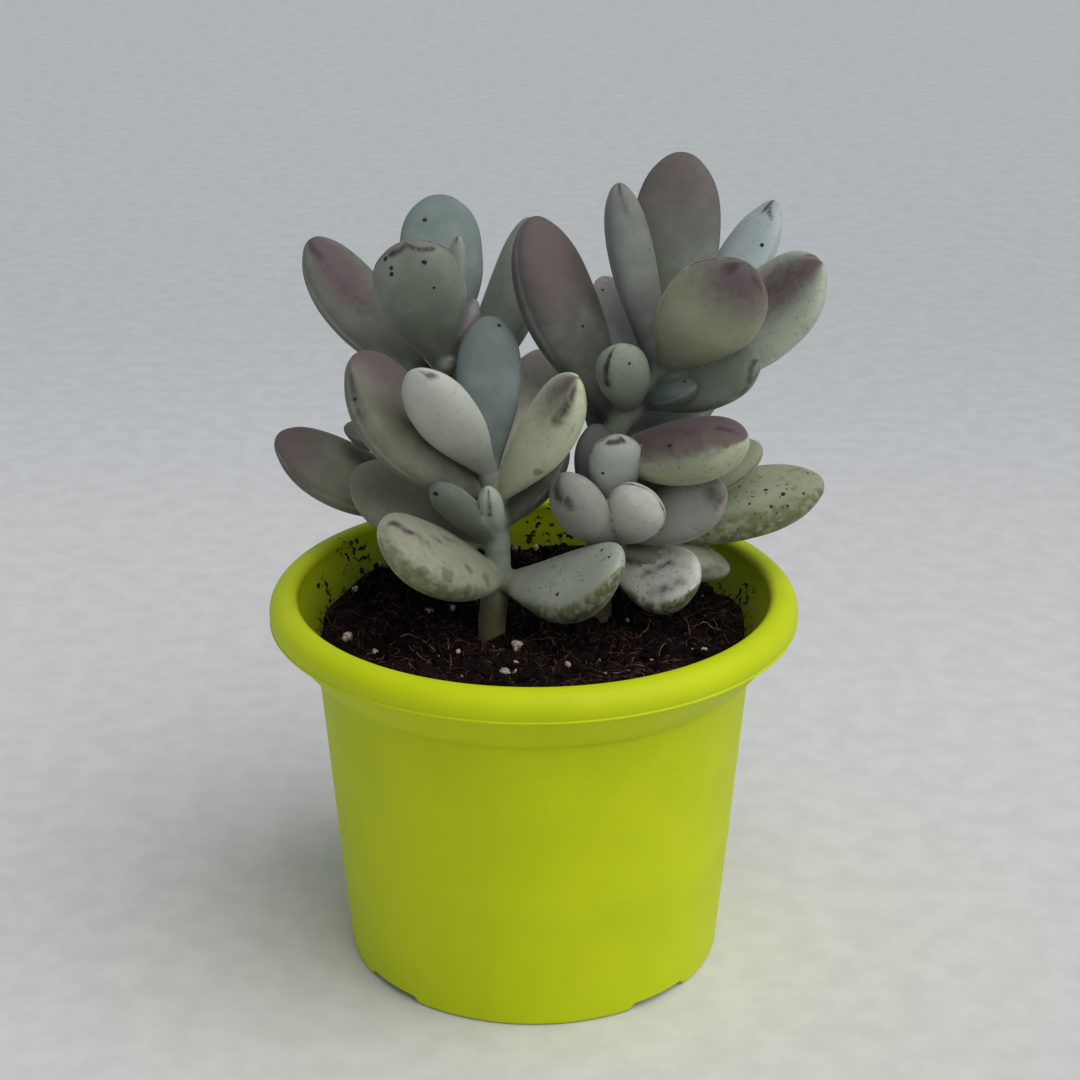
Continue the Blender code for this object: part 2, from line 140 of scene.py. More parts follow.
class Paint:
    """Builds the nodes of one material round its Principled shader."""

    def __init__(self, name: str, **constants: float) -> None:
        """Start a material.

        Args:
            name: the material's name.
            constants: Principled sockets that are the same all over, with spaces as underscores.
        """
        self.material = bpy.data.materials.new(name)
        self.material.use_nodes = True
        self.tree = self.material.node_tree
        self.shader = self.tree.nodes["Principled BSDF"]
        for socket, value in constants.items():
            self.shader.inputs[socket.replace("_", " ")].default_value = value
        place = self.node("ShaderNodeTexCoord", output="Object")
        scaled = {0: place, "Scale": 1.0 / MM}
        self.place = self.node("ShaderNodeVectorMath", {"operation": "SCALE"}, scaled)

    def node(self, kind: str, settings: dict | None = None, inputs: dict | None = None,
             output: int | str = 0) -> Signal:
        """Add any node.

        Args:
            kind: the node's type.
            settings: its properties, which are set before its sockets.
            inputs: values or links of its sockets, by index or name.
            output: which of its results to hand back.

        Returns:
            The chosen result.
        """
        made = self.tree.nodes.new(kind)
        for name, value in (settings or {}).items():
            setattr(made, name, value)
        for key, value in (inputs or {}).items():
            self.join(made.inputs[key], value)
        return Signal(self, made.outputs[output])

    def join(self, socket: NodeSocket, value: Signal | float | Colour) -> None:
        """Link a signal to a socket, or set the socket's own value."""
        if isinstance(value, Signal):
            self.tree.links.new(value.socket, socket)
        elif isinstance(value, tuple) and socket.type == "RGBA":
            socket.default_value = (*value, 1.0)
        else:
            socket.default_value = value

    def attribute(self, name: str, output: str = "Fac") -> Signal:
        """Read a mesh attribute."""
        return self.node("ShaderNodeAttribute", {"attribute_name": name}, output=output)

    def noise(self, size: float, detail: float = 2.0, stretch: float = 0.0) -> Signal:
        """Cloudy noise.

        Args:
            size: how far apart its blotches are, in millimetres.
            detail: how many finer layers it has.
            stretch: distortion that draws its blotches out.

        Returns:
            A signal round 0.5.
        """
        inputs = {"Vector": self.place, "Scale": 1.0 / size}
        inputs |= {"Detail": detail, "Distortion": stretch}
        return self.node("ShaderNodeTexNoise", {}, inputs)

    def cells(self, size: float) -> Signal:
        """Distance to the nearest of many scattered points, as a share of their spacing."""
        inputs = {"Vector": self.place, "Scale": 1.0 / size, "Randomness": 1.0}
        return self.node("ShaderNodeTexVoronoi", {"feature": "F1"}, inputs, "Distance")

    def away(self, point: Sequence[float]) -> Signal:
        """Distance from a point, in millimetres."""
        inputs = {0: self.place, 1: tuple(point)}
        return self.node("ShaderNodeVectorMath", {"operation": "DISTANCE"}, inputs, "Value")

    def mix(self, share: Signal | float, first: Signal | Colour, second: Signal | Colour,
            mode: str = "MIX") -> Signal:
        """Mix two colours.

        Args:
            share: how much of the second shows.
            first: the colour underneath.
            second: the colour on top.
            mode: how the second is laid on the first.

        Returns:
            The mixed colour.
        """
        settings = {"data_type": "RGBA", "blend_type": mode}
        inputs = {0: share, 6: first, 7: second}
        return self.node("ShaderNodeMix", settings, inputs, 2)

    def shade(self, colour: Signal, light: Signal) -> Signal:
        """Darken or lighten a colour by a signal round 1."""
        grey = self.node("ShaderNodeCombineColor", {}, {0: light, 1: light, 2: light})
        return self.mix(1.0, colour, grey, "MULTIPLY")

    def along(self, axis: str) -> Signal:
        """One coordinate of the surface, in millimetres."""
        return self.node("ShaderNodeSeparateXYZ", {}, {0: self.place}, axis)

    def bump(self, height: Signal, depth: float, strength: float = 1.0) -> None:
        """Raise the surface by a signal, by up to depth millimetres."""
        inputs = {"Height": height, "Distance": depth * MM, "Strength": strength}
        self.feed("Normal", self.node("ShaderNodeBump", {}, inputs, "Normal"))

    def feed(self, socket: str, value: Signal) -> None:
        """Link a signal to one of the shader's sockets."""
        self.join(self.shader.inputs[socket], value)


@dataclass(frozen=True)
class Mask:
    """Where a signal starts to show, where it shows in full, and how strongly."""

    low: float
    high: float
    strength: float = 1.0

    def of(self, signal: Signal) -> Signal:
        """The mask that a signal gives."""
        mask = signal.rise(self.low, self.high)
        return mask if self.strength == 1.0 else mask * self.strength


def finish_piece(name: str, bm: BMesh, material: Material, angle: float = 180.0) -> Object:
    """Turn a bmesh in millimetres into a shown object in metres.

    Args:
        name: the piece's name.
        bm: its mesh, which is freed.
        material: its finish.
        angle: edges sharper than this stay sharp.

    Returns:
        The new object.
    """
    bmesh.ops.scale(bm, vec=(MM, MM, MM), verts=bm.verts)
    mesh = bpy.data.meshes.new(name)
    bm.to_mesh(mesh)
    bm.free()
    mesh.materials.append(material)
    mesh.shade_smooth()
    mesh.set_sharp_from_angle(angle=radians(angle))
    piece = bpy.data.objects.new(name, mesh)
    bpy.context.scene.collection.objects.link(piece)
    return piece


def settle(piece: Object) -> None:
    """Make what a piece's modifiers show its own mesh."""
    graph = bpy.context.evaluated_depsgraph_get()
    mesh = bpy.data.meshes.new_from_object(piece.evaluated_get(graph))
    piece.modifiers.clear()
    piece.data = mesh
    mesh.name = piece.name


def place_piece(piece: Object, slot: str, *nodes: str) -> None:
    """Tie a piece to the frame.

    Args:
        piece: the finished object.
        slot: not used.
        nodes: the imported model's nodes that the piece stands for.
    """
    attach(piece, "root")
    if nodes:
        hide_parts(*nodes)
    LOG.info("%s: %d vertices", piece.name, len(piece.data.vertices))


class Tone(Enum):
    """Base colours of the leaves, linear, from the palest wax to bare green."""

    ICE = (0.46, 0.54, 0.56)
    WHITE = (0.50, 0.51, 0.45)
    CREAM = (0.46, 0.42, 0.35)
    SILVER = (0.37, 0.40, 0.36)
    PALE = (0.37, 0.40, 0.33)
    MIST = (0.30, 0.34, 0.27)
    BLUE = (0.24, 0.31, 0.30)
    MAUVE = (0.29, 0.26, 0.26)
    OLIVE = (0.24, 0.26, 0.17)
    SAGE = (0.20, 0.23, 0.18)
    TEAL = (0.15, 0.20, 0.17)


@dataclass(frozen=True)
class Spot:
    """A dot or a scar on a leaf, at a share of its length and of its half width."""

    along: float
    across: float
    size: float = 0.5
    face: int = 1
    scar: bool = False


@dataclass(frozen=True)
class Streak:
    """A soft dark stain on one face of a leaf, from one place to another.

    Places are (share along the leaf, share of its half width across).
    """

    start: Point
    end: Point
    width: float
    strength: float = 0.8
    face: int = 1


@dataclass(frozen=True)
class Leaf:
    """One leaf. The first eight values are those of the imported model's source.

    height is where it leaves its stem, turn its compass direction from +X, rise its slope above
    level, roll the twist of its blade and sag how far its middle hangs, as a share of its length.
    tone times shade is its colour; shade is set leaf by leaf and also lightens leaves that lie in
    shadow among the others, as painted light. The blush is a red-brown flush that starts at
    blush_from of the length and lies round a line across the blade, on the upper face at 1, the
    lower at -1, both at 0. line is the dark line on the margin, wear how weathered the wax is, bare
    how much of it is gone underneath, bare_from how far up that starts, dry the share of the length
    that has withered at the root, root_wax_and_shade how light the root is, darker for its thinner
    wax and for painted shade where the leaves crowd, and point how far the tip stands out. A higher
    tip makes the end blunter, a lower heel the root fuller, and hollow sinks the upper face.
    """

    height: float
    turn: float
    rise: float
    length: float
    width: float
    thickness: float
    roll: float
    sag: float
    tone: Tone
    shade: float
    blush: float = 0.0
    blush_from: float = 0.6
    blush_at: float = 0.0
    blush_spread: float = 3.0
    blush_face: float = 0.0
    line: float = 0.3
    wear: float = 0.15
    bare: float = 0.0
    bare_from: float = 0.0
    dry: float = 0.0
    root_wax_and_shade: float = 0.62
    point: float = 0.5
    tip: float = 2.3
    heel: float = 1.35
    hollow: float = 0.0
    streaks: tuple[Streak, ...] = ()
    spots: tuple[Spot, ...] = ()


@dataclass(frozen=True)
class LeafForm:
    """How every leaf is shaped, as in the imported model's source, with finer steps."""

    belly: float = 0.61
    root_width: float = 5.0
    root_thickness: float = 3.2
    root_share: float = 0.9
    section_curve: float = 0.9
    upper_share: float = 0.8
    lower_share: float = 1.2
    sides: int = 36
    rings: int = 44
    point_from: float = 0.93
    sink_span: Point = (0.1, 0.5)
    ripple: float = 0.22
    ripple_size: float = 13.0
    ripple_span: Point = (0.05, 0.3)

    def blade(self, leaf: Leaf, share: float, root: float) -> float:
        """Size of the blade at a share of its length, as a share of its largest size."""
        if share < self.belly:
            return root + (1.0 - root) * sin(0.5 * pi * share / self.belly) ** leaf.heel
        past = (share - self.belly) / (1.0 - self.belly)
        return sqrt(max(0.0, 1.0 - past ** leaf.tip))

    def rounded(self, value: float) -> float:
        """Push a point of a circle's section a little towards a fuller one."""
        return abs(value) ** self.section_curve * (1.0 if value > 0.0 else -1.0)

    def axes(self, leaf: Leaf) -> tuple[Vector, Vector, Vector]:
        """Unit vectors along a leaf, across its blade and out of its upper face."""
        turn, rise, roll = radians(leaf.turn), radians(leaf.rise), radians(leaf.roll)
        along = Vector((cos(rise) * cos(turn), cos(rise) * sin(turn), sin(rise)))
        level = Vector((-sin(turn), cos(turn), 0.0))
        above = along.cross(level)
        upper = above * cos(roll) + level * sin(roll)
        across = level * cos(roll) - above * sin(roll)
        return along, across, upper

    def lowness(self, leaf: Leaf, side: float, face: float) -> float:
        """How far a point of the section faces down, from -1 on its top to 1 at its bottom."""
        _, across, upper = self.axes(leaf)
        offset = across * side * leaf.width + upper * face * leaf.thickness
        return -offset.normalized().z

    def point(self, leaf: Leaf, root: Vector, share: float, side: float, face: float) -> Vector:
        """Place of a point of a leaf's skin.

        Args:
            leaf: the leaf.
            root: where it leaves its stem.
            share: how far along the leaf, from 0 at the root to 1 at the tip.
            side: how far across, as the cosine of the angle round the section.
            face: the sine of that angle, above 0 on the upper face.

        Returns:
            The place, in millimetres.
        """
        along, across, upper = self.axes(leaf)
        sag = 4.0 * leaf.sag * leaf.length * share * (1.0 - share)
        tip = leaf.point * smooth(self.point_from, 1.0, share) ** 2
        centre = root + along * (leaf.length * share + tip) - upper * sag
        root_width = min(self.root_share, self.root_width / leaf.width)
        root_thickness = min(self.root_share, self.root_thickness / leaf.thickness)
        half_width = 0.5 * leaf.width * self.blade(leaf, share, root_width)
        half_depth = 0.5 * leaf.thickness * self.blade(leaf, share, root_thickness)
        if face > 0.0:
            sink = leaf.hollow * smooth(*self.sink_span, share) * face
            half_depth *= self.upper_share * (1.0 - sink)
        else:
            half_depth *= self.lower_share
        place = centre + across * half_width * self.rounded(side)
        place = place + upper * half_depth * self.rounded(face)
        sway = noise.noise_vector(place / self.ripple_size + Vector((leaf.turn, leaf.height, 0.0)))
        return place + sway * self.ripple * smooth(*self.ripple_span, share)


@dataclass(frozen=True)
class Stem:
    """A stem through points (x, y, z, radius), with its leaves."""

    path: tuple[PathPoint, ...]
    leaves: tuple[Leaf, ...]
    sides: int = 32
    rings: int = 90
    node_swell: float = 0.09
    node_length: float = 1.5

    def root(self, height: float) -> Vector:
        """Middle of the stem at a height, on straight lines between its points."""
        for low, high in zip(self.path, self.path[1:]):
            if height <= high[2]:
                share = (height - low[2]) / (high[2] - low[2])
                return Vector(low[:3]).lerp(Vector(high[:3]), share)
        return Vector(self.path[-1][:3])

    def centre(self, share: float) -> tuple[Vector, Vector, float]:
        """Middle, direction and radius of the stem at a share of its way, on a smooth curve."""
        last = len(self.path) - 1
        span = share * last
        index = min(int(span), last - 1)
        part = span - index
        ends = [Vector(self.path[max(0, min(last, index + step))]) for step in (-1, 0, 1, 2)]
        before, start, end, after = ends
        leave, arrive = 0.5 * (end - before), 0.5 * (after - start)
        square, cube = part * part, part ** 3
        place = start * (2 * cube - 3 * square + 1) + leave * (cube - 2 * square + part)
        place = place + end * (3 * square - 2 * cube) + arrive * (cube - square)
        heading = start * (6 * square - 6 * part) + leave * (3 * square - 4 * part + 1)
        heading = heading + end * (6 * part - 6 * square) + arrive * (3 * square - 2 * part)
        return place.xyz, heading.xyz.normalized(), place.w

    def radius(self, height: float, base: float) -> float:
        """Radius of the stem at a height, with a swelling at each pair of leaves."""
        swell = sum(exp(-((height - leaf.height) / self.node_length) ** 2) for leaf in self.leaves)
        return base * (1.0 + self.node_swell * min(1.0, swell))


@dataclass(frozen=True)
class LeafFinish:
    """Waxy bloom over green flesh, with a red-brown flush, dark margins, scars and spots, and pale
    edges that are partly a painted highlight.
    """

    flush: Colour = (0.112, 0.080, 0.083)
    stain: Colour = (0.040, 0.026, 0.032)
    margin: Colour = (0.060, 0.028, 0.030)
    flesh: Colour = (0.118, 0.132, 0.046)
    wax: Colour = (0.62, 0.67, 0.62)
    bark: Colour = (0.085, 0.064, 0.025)
    scar: Colour = (0.075, 0.080, 0.038)
    spot: Colour = (0.018, 0.014, 0.012)
    rust: Colour = (0.070, 0.048, 0.026)
    cloud_size: float = 7.0
    blotch_size: float = 2.2
    grain_size: float = 0.45
    rub_size: float = 4.0
    speck_size: float = 1.5
    scar_fray: float = 1.8
    dot_fray: float = 0.8
    relief: float = 0.09
    waxy: Mask = Mask(0.35, 0.72, 0.10)
    mottled: Mask = Mask(0.45, 0.75, 0.12)
    flushed: Mask = Mask(0.0, 1.1)
    wax_and_highlight_edge: Mask = Mask(0.5, 1.0, 0.20)
    dark_edge: Mask = Mask(0.62, 0.95)
    edge_gaps: Mask = Mask(0.25, 0.6)
    stained: Mask = Mask(0.05, 1.0)
    bared: Mask = Mask(0.1, 0.9)
    bare_patches: Mask = Mask(0.30, 0.60, 0.75)
    unrubbed: Mask = Mask(0.28, 0.42)
    off_speck: Mask = Mask(0.14, 0.24)
    speckled: Mask = Mask(0.42, 0.60)

    def paint(self, name: str, spots: Sequence["PlacedSpot"]) -> Material:
        """Make the material of one shoot.

        Args:
            name: the material's name.
            spots: the dots and scars at known places of the shoot.

        Returns:
            The material.
        """
        paint = Paint(name, Sheen_Weight=0.18, Sheen_Roughness=0.3, Specular_IOR_Level=0.3)
        cloud = paint.noise(self.cloud_size, 3.0)
        blotch = paint.noise(self.blotch_size, 3.0, 0.4)
        grain = paint.noise(self.grain_size, 2.0)
        wear = paint.attribute("wear")
        margin = paint.attribute("margin")
        colour = paint.attribute("tone", "Color")
        colour = self.bloom(paint, colour, cloud, blotch, grain)
        flush = paint.attribute("flush") * (0.75 + 0.5 * blotch)
        colour = paint.mix(self.flushed.of(flush), colour, self.flush)
        # Pale wax along the margins: partly the leaves' own waxy edges, partly a painted highlight
        # where the light catches them.
        colour = paint.mix(self.wax_and_highlight_edge.of(margin), colour, self.wax)
        edge = self.dark_edge.of(margin) * paint.attribute("line") * self.edge_gaps.of(blotch)
        colour = paint.mix(edge, colour, self.margin)
        stain = paint.attribute("stain") * (0.3 + 1.2 * blotch)
        colour = paint.mix(self.stained.of(stain), colour, self.stain)
        bare = self.bared.of(paint.attribute("bare")) * (0.25 + self.bare_patches.of(blotch))
        rubbed = wear * (1.0 - self.unrubbed.of(paint.noise(self.rub_size, 4.0, 0.8))) * 0.5
        green = bare | rubbed
        colour = paint.mix(green, colour, self.flesh)
        specks = (1.0 - self.off_speck.of(paint.cells(self.speck_size))) * self.speckled.of(blotch)
        colour = paint.mix(specks * wear, colour, self.rust)
        colour = paint.mix(paint.attribute("bark") * (0.6 + 0.6 * grain), colour, self.bark)
        scars = self.spots(paint, self.scar_fray, [spot for spot in spots if spot.scar])
        dots = self.spots(paint, self.dot_fray, [spot for spot in spots if not spot.scar])
        if scars:
            colour = paint.mix(scars * (0.25 + 0.5 * grain), colour, self.scar)
        if dots:
            colour = paint.mix(dots, colour, self.spot)
        paint.feed("Base Color", colour)
        paint.feed("Roughness", 0.66 - 0.14 * green + 0.10 * (grain - 0.5))
        height = grain * 0.35 + blotch * 0.4 - stain * 0.3 - specks * wear * 0.8
        if scars:
            height = height + scars * grain
        paint.bump(height, self.relief, 0.7)
        return paint.material

    def bloom(self, paint: Paint, colour: Signal, *layers: Signal) -> Signal:
        """Break up the wax.

        Args:
            paint: the material in the making.
            colour: the plain colour of the leaf.
            layers: coarse, middle and fine noise.

        Returns:
            The mottled colour.
        """
        cloud, blotch, grain = layers
        colour = paint.mix(self.waxy.of(cloud), colour, self.wax)
        colour = paint.mix(self.mottled.of(blotch), colour, self.flesh)
        return paint.shade(colour, 0.87 + 0.26 * grain)

    def spots(self, paint: Paint, fray_size: float, spots: Sequence["PlacedSpot"]) -> Signal | None:
        """Mask of spots with ragged edges.

        Args:
            paint: the material in the making.
            fray_size: size of the noise that frays their edges.
            spots: where they are and how large.

        Returns:
            The mask, or None with no spots.
        """
        mask = None
        fray = 0.15 + 1.70 * paint.noise(fray_size, 3.0, 0.5)
        for spot in spots:
            far = paint.away(spot.place) * fray
            near = 1.0 - far.rise(spot.size * 0.75, spot.size * 1.05)
            mask = near if mask is None else mask | near
        return mask


@dataclass(frozen=True)
class PlacedSpot:
    """A spot whose place in the plant is worked out, in millimetres."""

    place: Vector
    size: float
    scar: bool


@dataclass
class Shoot:
    """A stem, or a stem with a side branch, grown together with its leaves as one skin."""

    name: str
    node: str
    stems: tuple[Stem, ...]
    form: LeafForm = field(default_factory=LeafForm)
    joint_merge: float = 0.22
    joint_rings: int = 2
    joint_passes: int = 3
    joint_blends: int = 2
    joint_reach: float = 6.0
    crease: float = 0.9
    bark_top: float = 100.0
    bark_fade: float = 10.0
    tip_from: float = 0.94
    foot_to: float = 0.02
    margin_width: float = 0.34
    flush_fade: Point = (-0.3, 0.25)
    flush_turn: Point = (-0.6, 0.7)
    bare_fade: float = 0.55
    root_wax_and_shade_span: Point = (0.0, 0.65)
    margin_span: Point = (0.1, 0.5)
    line_span: Point = (0.45, 0.85)
    wear_span: Point = (0.05, 0.3)
    bare_span: Point = (0.1, 0.4)
    stain_turn: Point = (-0.1, 0.25)

    LAYERS = ("margin", "flush", "line", "wear", "bare", "stain", "bark")

    def build(self, finish: LeafFinish) -> Object:
        """Grow the shoot.

        Args:
            finish: the colours of its skin.

        Returns:
            The shoot's one object.
        """
        material = finish.paint(self.name, self.placed_spots())
        bodies = []
        for stem in self.stems:
            bodies.append(self.stem_body(stem, material))
            for leaf in stem.leaves:
                bodies.append(self.leaf_body(leaf, stem.root(leaf.height), material))
        shoot = self.union(bodies)
        self.soften_joints(shoot)
        place_piece(shoot, "shoot", self.node)
        return shoot

    def placed_spots(self) -> list[PlacedSpot]:
        """Work out where each spot lies in the plant."""
        placed = []
        for stem in self.stems:
            for leaf in stem.leaves:
                root = stem.root(leaf.height)
                for spot in leaf.spots:
                    face = sqrt(max(0.0, 1.0 - spot.across ** 2)) * spot.face
                    place = self.form.point(leaf, root, spot.along, spot.across, face)
                    placed.append(PlacedSpot(place, spot.size, spot.scar))
        return placed

    def leaf_body(self, leaf: Leaf, root: Vector, material: Material) -> Object:
        """Shape and colour one leaf from a sphere whose upper pole becomes the tip."""
        bm = bmesh.new()
        layers = self.layers(bm)
        sides, rings = self.form.sides, self.form.rings
        bmesh.ops.create_uvsphere(bm, u_segments=sides, v_segments=rings, radius=1.0)
        for vertex in bm.verts:
            share = 0.5 * (1.0 + clamp(vertex.co.z, -1.0))
            ring = max(TINY, hypot(vertex.co.x, vertex.co.y))
            side, face = vertex.co.x / ring, vertex.co.y / ring
            vertex.co = self.form.point(leaf, root, share, side, face)
            self.colour_leaf(vertex, layers, leaf, share, side, face)
        return finish_piece(self.name + "_leaf", bm, material)

    def layers(self, bm: BMesh) -> dict:
        """Add the skin's attributes to a bmesh."""
        made = {name: bm.verts.layers.float.new(name) for name in self.LAYERS}
        made["tone"] = bm.verts.layers.float_color.new("tone")
        return made

    def colour_leaf(self, vertex: BMVert, layers: dict, leaf: Leaf, share: float,
                    side: float, face: float) -> None:
        """Set the attributes of one point of a leaf.

        Args:
            vertex: the point, already in place.
            layers: the mesh's attributes.
            leaf: the leaf it is on.
            share: how far along the leaf it is.
            side: how far across.
            face: above 0 on the upper face.
        """
        spread = ((side - leaf.blush_at) / leaf.blush_spread) ** 2
        start, full = (leaf.blush_from + fade for fade in self.flush_fade)
        flush = leaf.blush * smooth(start, full, share) * exp(-spread)
        if leaf.blush_face:
            flush *= smooth(*self.flush_turn, face * leaf.blush_face)
        lowness = self.form.lowness(leaf, side, face)
        low = smooth(leaf.bare_from, leaf.bare_from + self.bare_fade, lowness)
        # Darker towards the root: partly the root's thinner wax, partly painted shade where the
        # leaves crowd together.
        light = leaf.shade * (leaf.root_wax_and_shade + (1.0 - leaf.root_wax_and_shade) * smooth(*self.root_wax_and_shade_span, share))
        vertex[layers["tone"]] = (*(channel * light for channel in leaf.tone.value), 0.0)
        margin = max(0.0, 1.0 - abs(face) / self.margin_width)
        vertex[layers["margin"]] = margin * smooth(*self.margin_span, share)
        vertex[layers["flush"]] = flush
        vertex[layers["line"]] = leaf.line * smooth(*self.line_span, share)
        vertex[layers["wear"]] = leaf.wear * smooth(*self.wear_span, share)
        vertex[layers["bare"]] = leaf.bare * low * smooth(*self.bare_span, share)
        vertex[layers["stain"]] = self.stain(leaf, share, side, face)
        vertex[layers["bark"]] = smooth(leaf.dry, 0.6 * leaf.dry, share) if leaf.dry else 0.0

    def stain(self, leaf: Leaf, share: float, side: float, face: float) -> float:
        """Strength of a leaf's streaks at a point of its skin."""
        strength = 0.0
        for streak in leaf.streaks:
            scale = Vector((leaf.length, 0.5 * leaf.width))
            start, end = Vector(streak.start) * scale, Vector(streak.end) * scale
            place = Vector((share, side)) * scale
            line = end - start
            reach = clamp((place - start).dot(line) / max(TINY, line.length_squared))
            away = (place - start - line * reach).length
            amount = streak.strength * exp(-(away / streak.width) ** 2)
            strength = max(strength, amount * smooth(*self.stain_turn, face * streak.face))
        return strength

    def stem_body(self, stem: Stem, material: Material) -> Object:
        """Shape and colour a stem from a sphere drawn out along its path."""
        bm = bmesh.new()
        layers = self.layers(bm)
        bmesh.ops.create_uvsphere(bm, u_segments=stem.sides, v_segments=stem.rings, radius=1.0)
        for vertex in bm.verts:
            share = ball_share(vertex.co)
            ring = max(TINY, hypot(vertex.co.x, vertex.co.y))
            middle, heading, base = stem.centre(share)
            right = Vector((0.0, 1.0, 0.0)).cross(heading).normalized()
            front = heading.cross(right)
            close = sqrt(max(0.0, 1.0 - smooth(self.tip_from, 1.0, share) ** 2))
            close *= sqrt(smooth(0.0, self.foot_to, share))
            radius = stem.radius(middle.z, base) * close
            vertex.co = middle + (right * vertex.co.x + front * vertex.co.y) * (radius / ring)
            wood = smooth(self.bark_top, self.bark_top - self.bark_fade, middle.z)
            tone = Vector(Tone.SAGE.value).lerp(Vector(Tone.OLIVE.value), wood)
            vertex[layers["tone"]] = (*tone, 0.0)
            vertex[layers["wear"]] = 0.2 + 0.4 * wood
            vertex[layers["bark"]] = 0.85 * wood
        return finish_piece(self.name, bm, material)

    def union(self, bodies: list[Object]) -> Object:
        """Join bodies to the first of them with one Boolean union."""
        first, rest = bodies[0], bodies[1:]
        group = bpy.data.collections.new(self.name + "_parts")
        bpy.context.scene.collection.children.link(group)
        for body in rest:
            bpy.context.scene.collection.objects.unlink(body)
            group.objects.link(body)
        boolean = first.modifiers.new("union", "BOOLEAN")
        boolean.operation = "UNION"
        boolean.operand_type = "COLLECTION"
        boolean.collection = group
        boolean.solver = "MANIFOLD"
        settle(first)
        for body in rest:
            bpy.data.objects.remove(body, do_unlink=True)
        bpy.data.collections.remove(group)
        return first

    def soften_joints(self, shoot: Object) -> None:
        """Round the hollow creases close to the stem, and keep the others sharp."""
        bm = bmesh.new()
        bm.from_mesh(shoot.data)
        layers = [bm.verts.layers.float[name] for name in self.LAYERS]
        tone = bm.verts.layers.float_color["tone"]
        seam = {vertex for vertex in bm.verts if vertex[tone][3] > 0.5}
        self.fill_seam(seam, layers, tone)
        short = dict.fromkeys(edge for vertex in self.in_order(seam) for edge in vertex.link_edges)
        bmesh.ops.dissolve_degenerate(bm, dist=self.joint_merge * MM, edges=list(short))
        bmesh.ops.triangulate(bm, faces=bm.faces)
        near = {vertex for vertex in seam if vertex.is_valid and self.by_stem(vertex.co)}
        for _ in range(self.joint_rings):
            near |= {other for vertex in near for other in self.around(vertex)}
        faces = {face for vertex in near for face in vertex.link_faces}
        edges = {edge for face in faces for edge in face.edges if faces.issuperset(edge.link_faces)}
        bmesh.ops.beautify_fill(bm, faces=list(faces), edges=list(edges))
        for _ in range(self.joint_passes):
            bmesh.ops.smooth_vert(bm, verts=list(near), factor=0.5, use_axis_x=True,
                                  use_axis_y=True, use_axis_z=True)
        for _ in range(self.joint_blends):
            for vertex in self.in_order(near):
                self.average(vertex, self.around(vertex), layers, tone)
        bmesh.ops.recalc_face_normals(bm, faces=bm.faces)
        for edge in bm.edges:
            edge.smooth = edge.calc_face_angle(0.0) < self.crease
        bm.to_mesh(shoot.data)
        bm.free()
        shoot.data.shade_smooth()

    def by_stem(self, place: Vector) -> bool:
        """Tell whether a point lies close to one of the stems."""
        spot = place / MM
        return any((spot - stem.root(spot.z)).length < self.joint_reach for stem in self.stems)

    def in_order(self, vertices: set) -> list:
        """Points sorted by place, so that each run takes them in the same order."""
        return sorted(vertices, key=lambda vertex: vertex.co[:])

    def around(self, vertex: BMVert) -> list:
        """The points next to a point of the skin."""
        return [edge.other_vert(vertex) for edge in vertex.link_edges]

    def fill_seam(self, seam: set, layers: list, tone: BMLayerItem) -> None:
        """Give the points that the union made the looks of their neighbours.

        Args:
            seam: the new points.
            layers: the float attributes.
            tone: the colour attribute.
        """
        blank = set(seam)
        while blank:
            ready = [vertex for vertex in blank if not blank.issuperset(self.around(vertex))]
            if not ready:
                return
            for vertex in ready:
                known = [other for other in self.around(vertex) if other not in blank]
                self.average(vertex, known, layers, tone)
            blank.difference_update(ready)

    def average(self, vertex: BMVert, others: list, layers: list, tone: BMLayerItem) -> None:
        """Set a point's attributes to the mean of other points'.

        Args:
            vertex: the point.
            others: the points to take the mean of.
            layers: the float attributes.
            tone: the colour attribute.
        """
        for layer in layers:
            vertex[layer] = sum(other[layer] for other in others) / len(others)
        total = sum((Vector(other[tone]) for other in others), Vector((0.0, 0.0, 0.0, 0.0)))
        vertex[tone] = total / len(others)


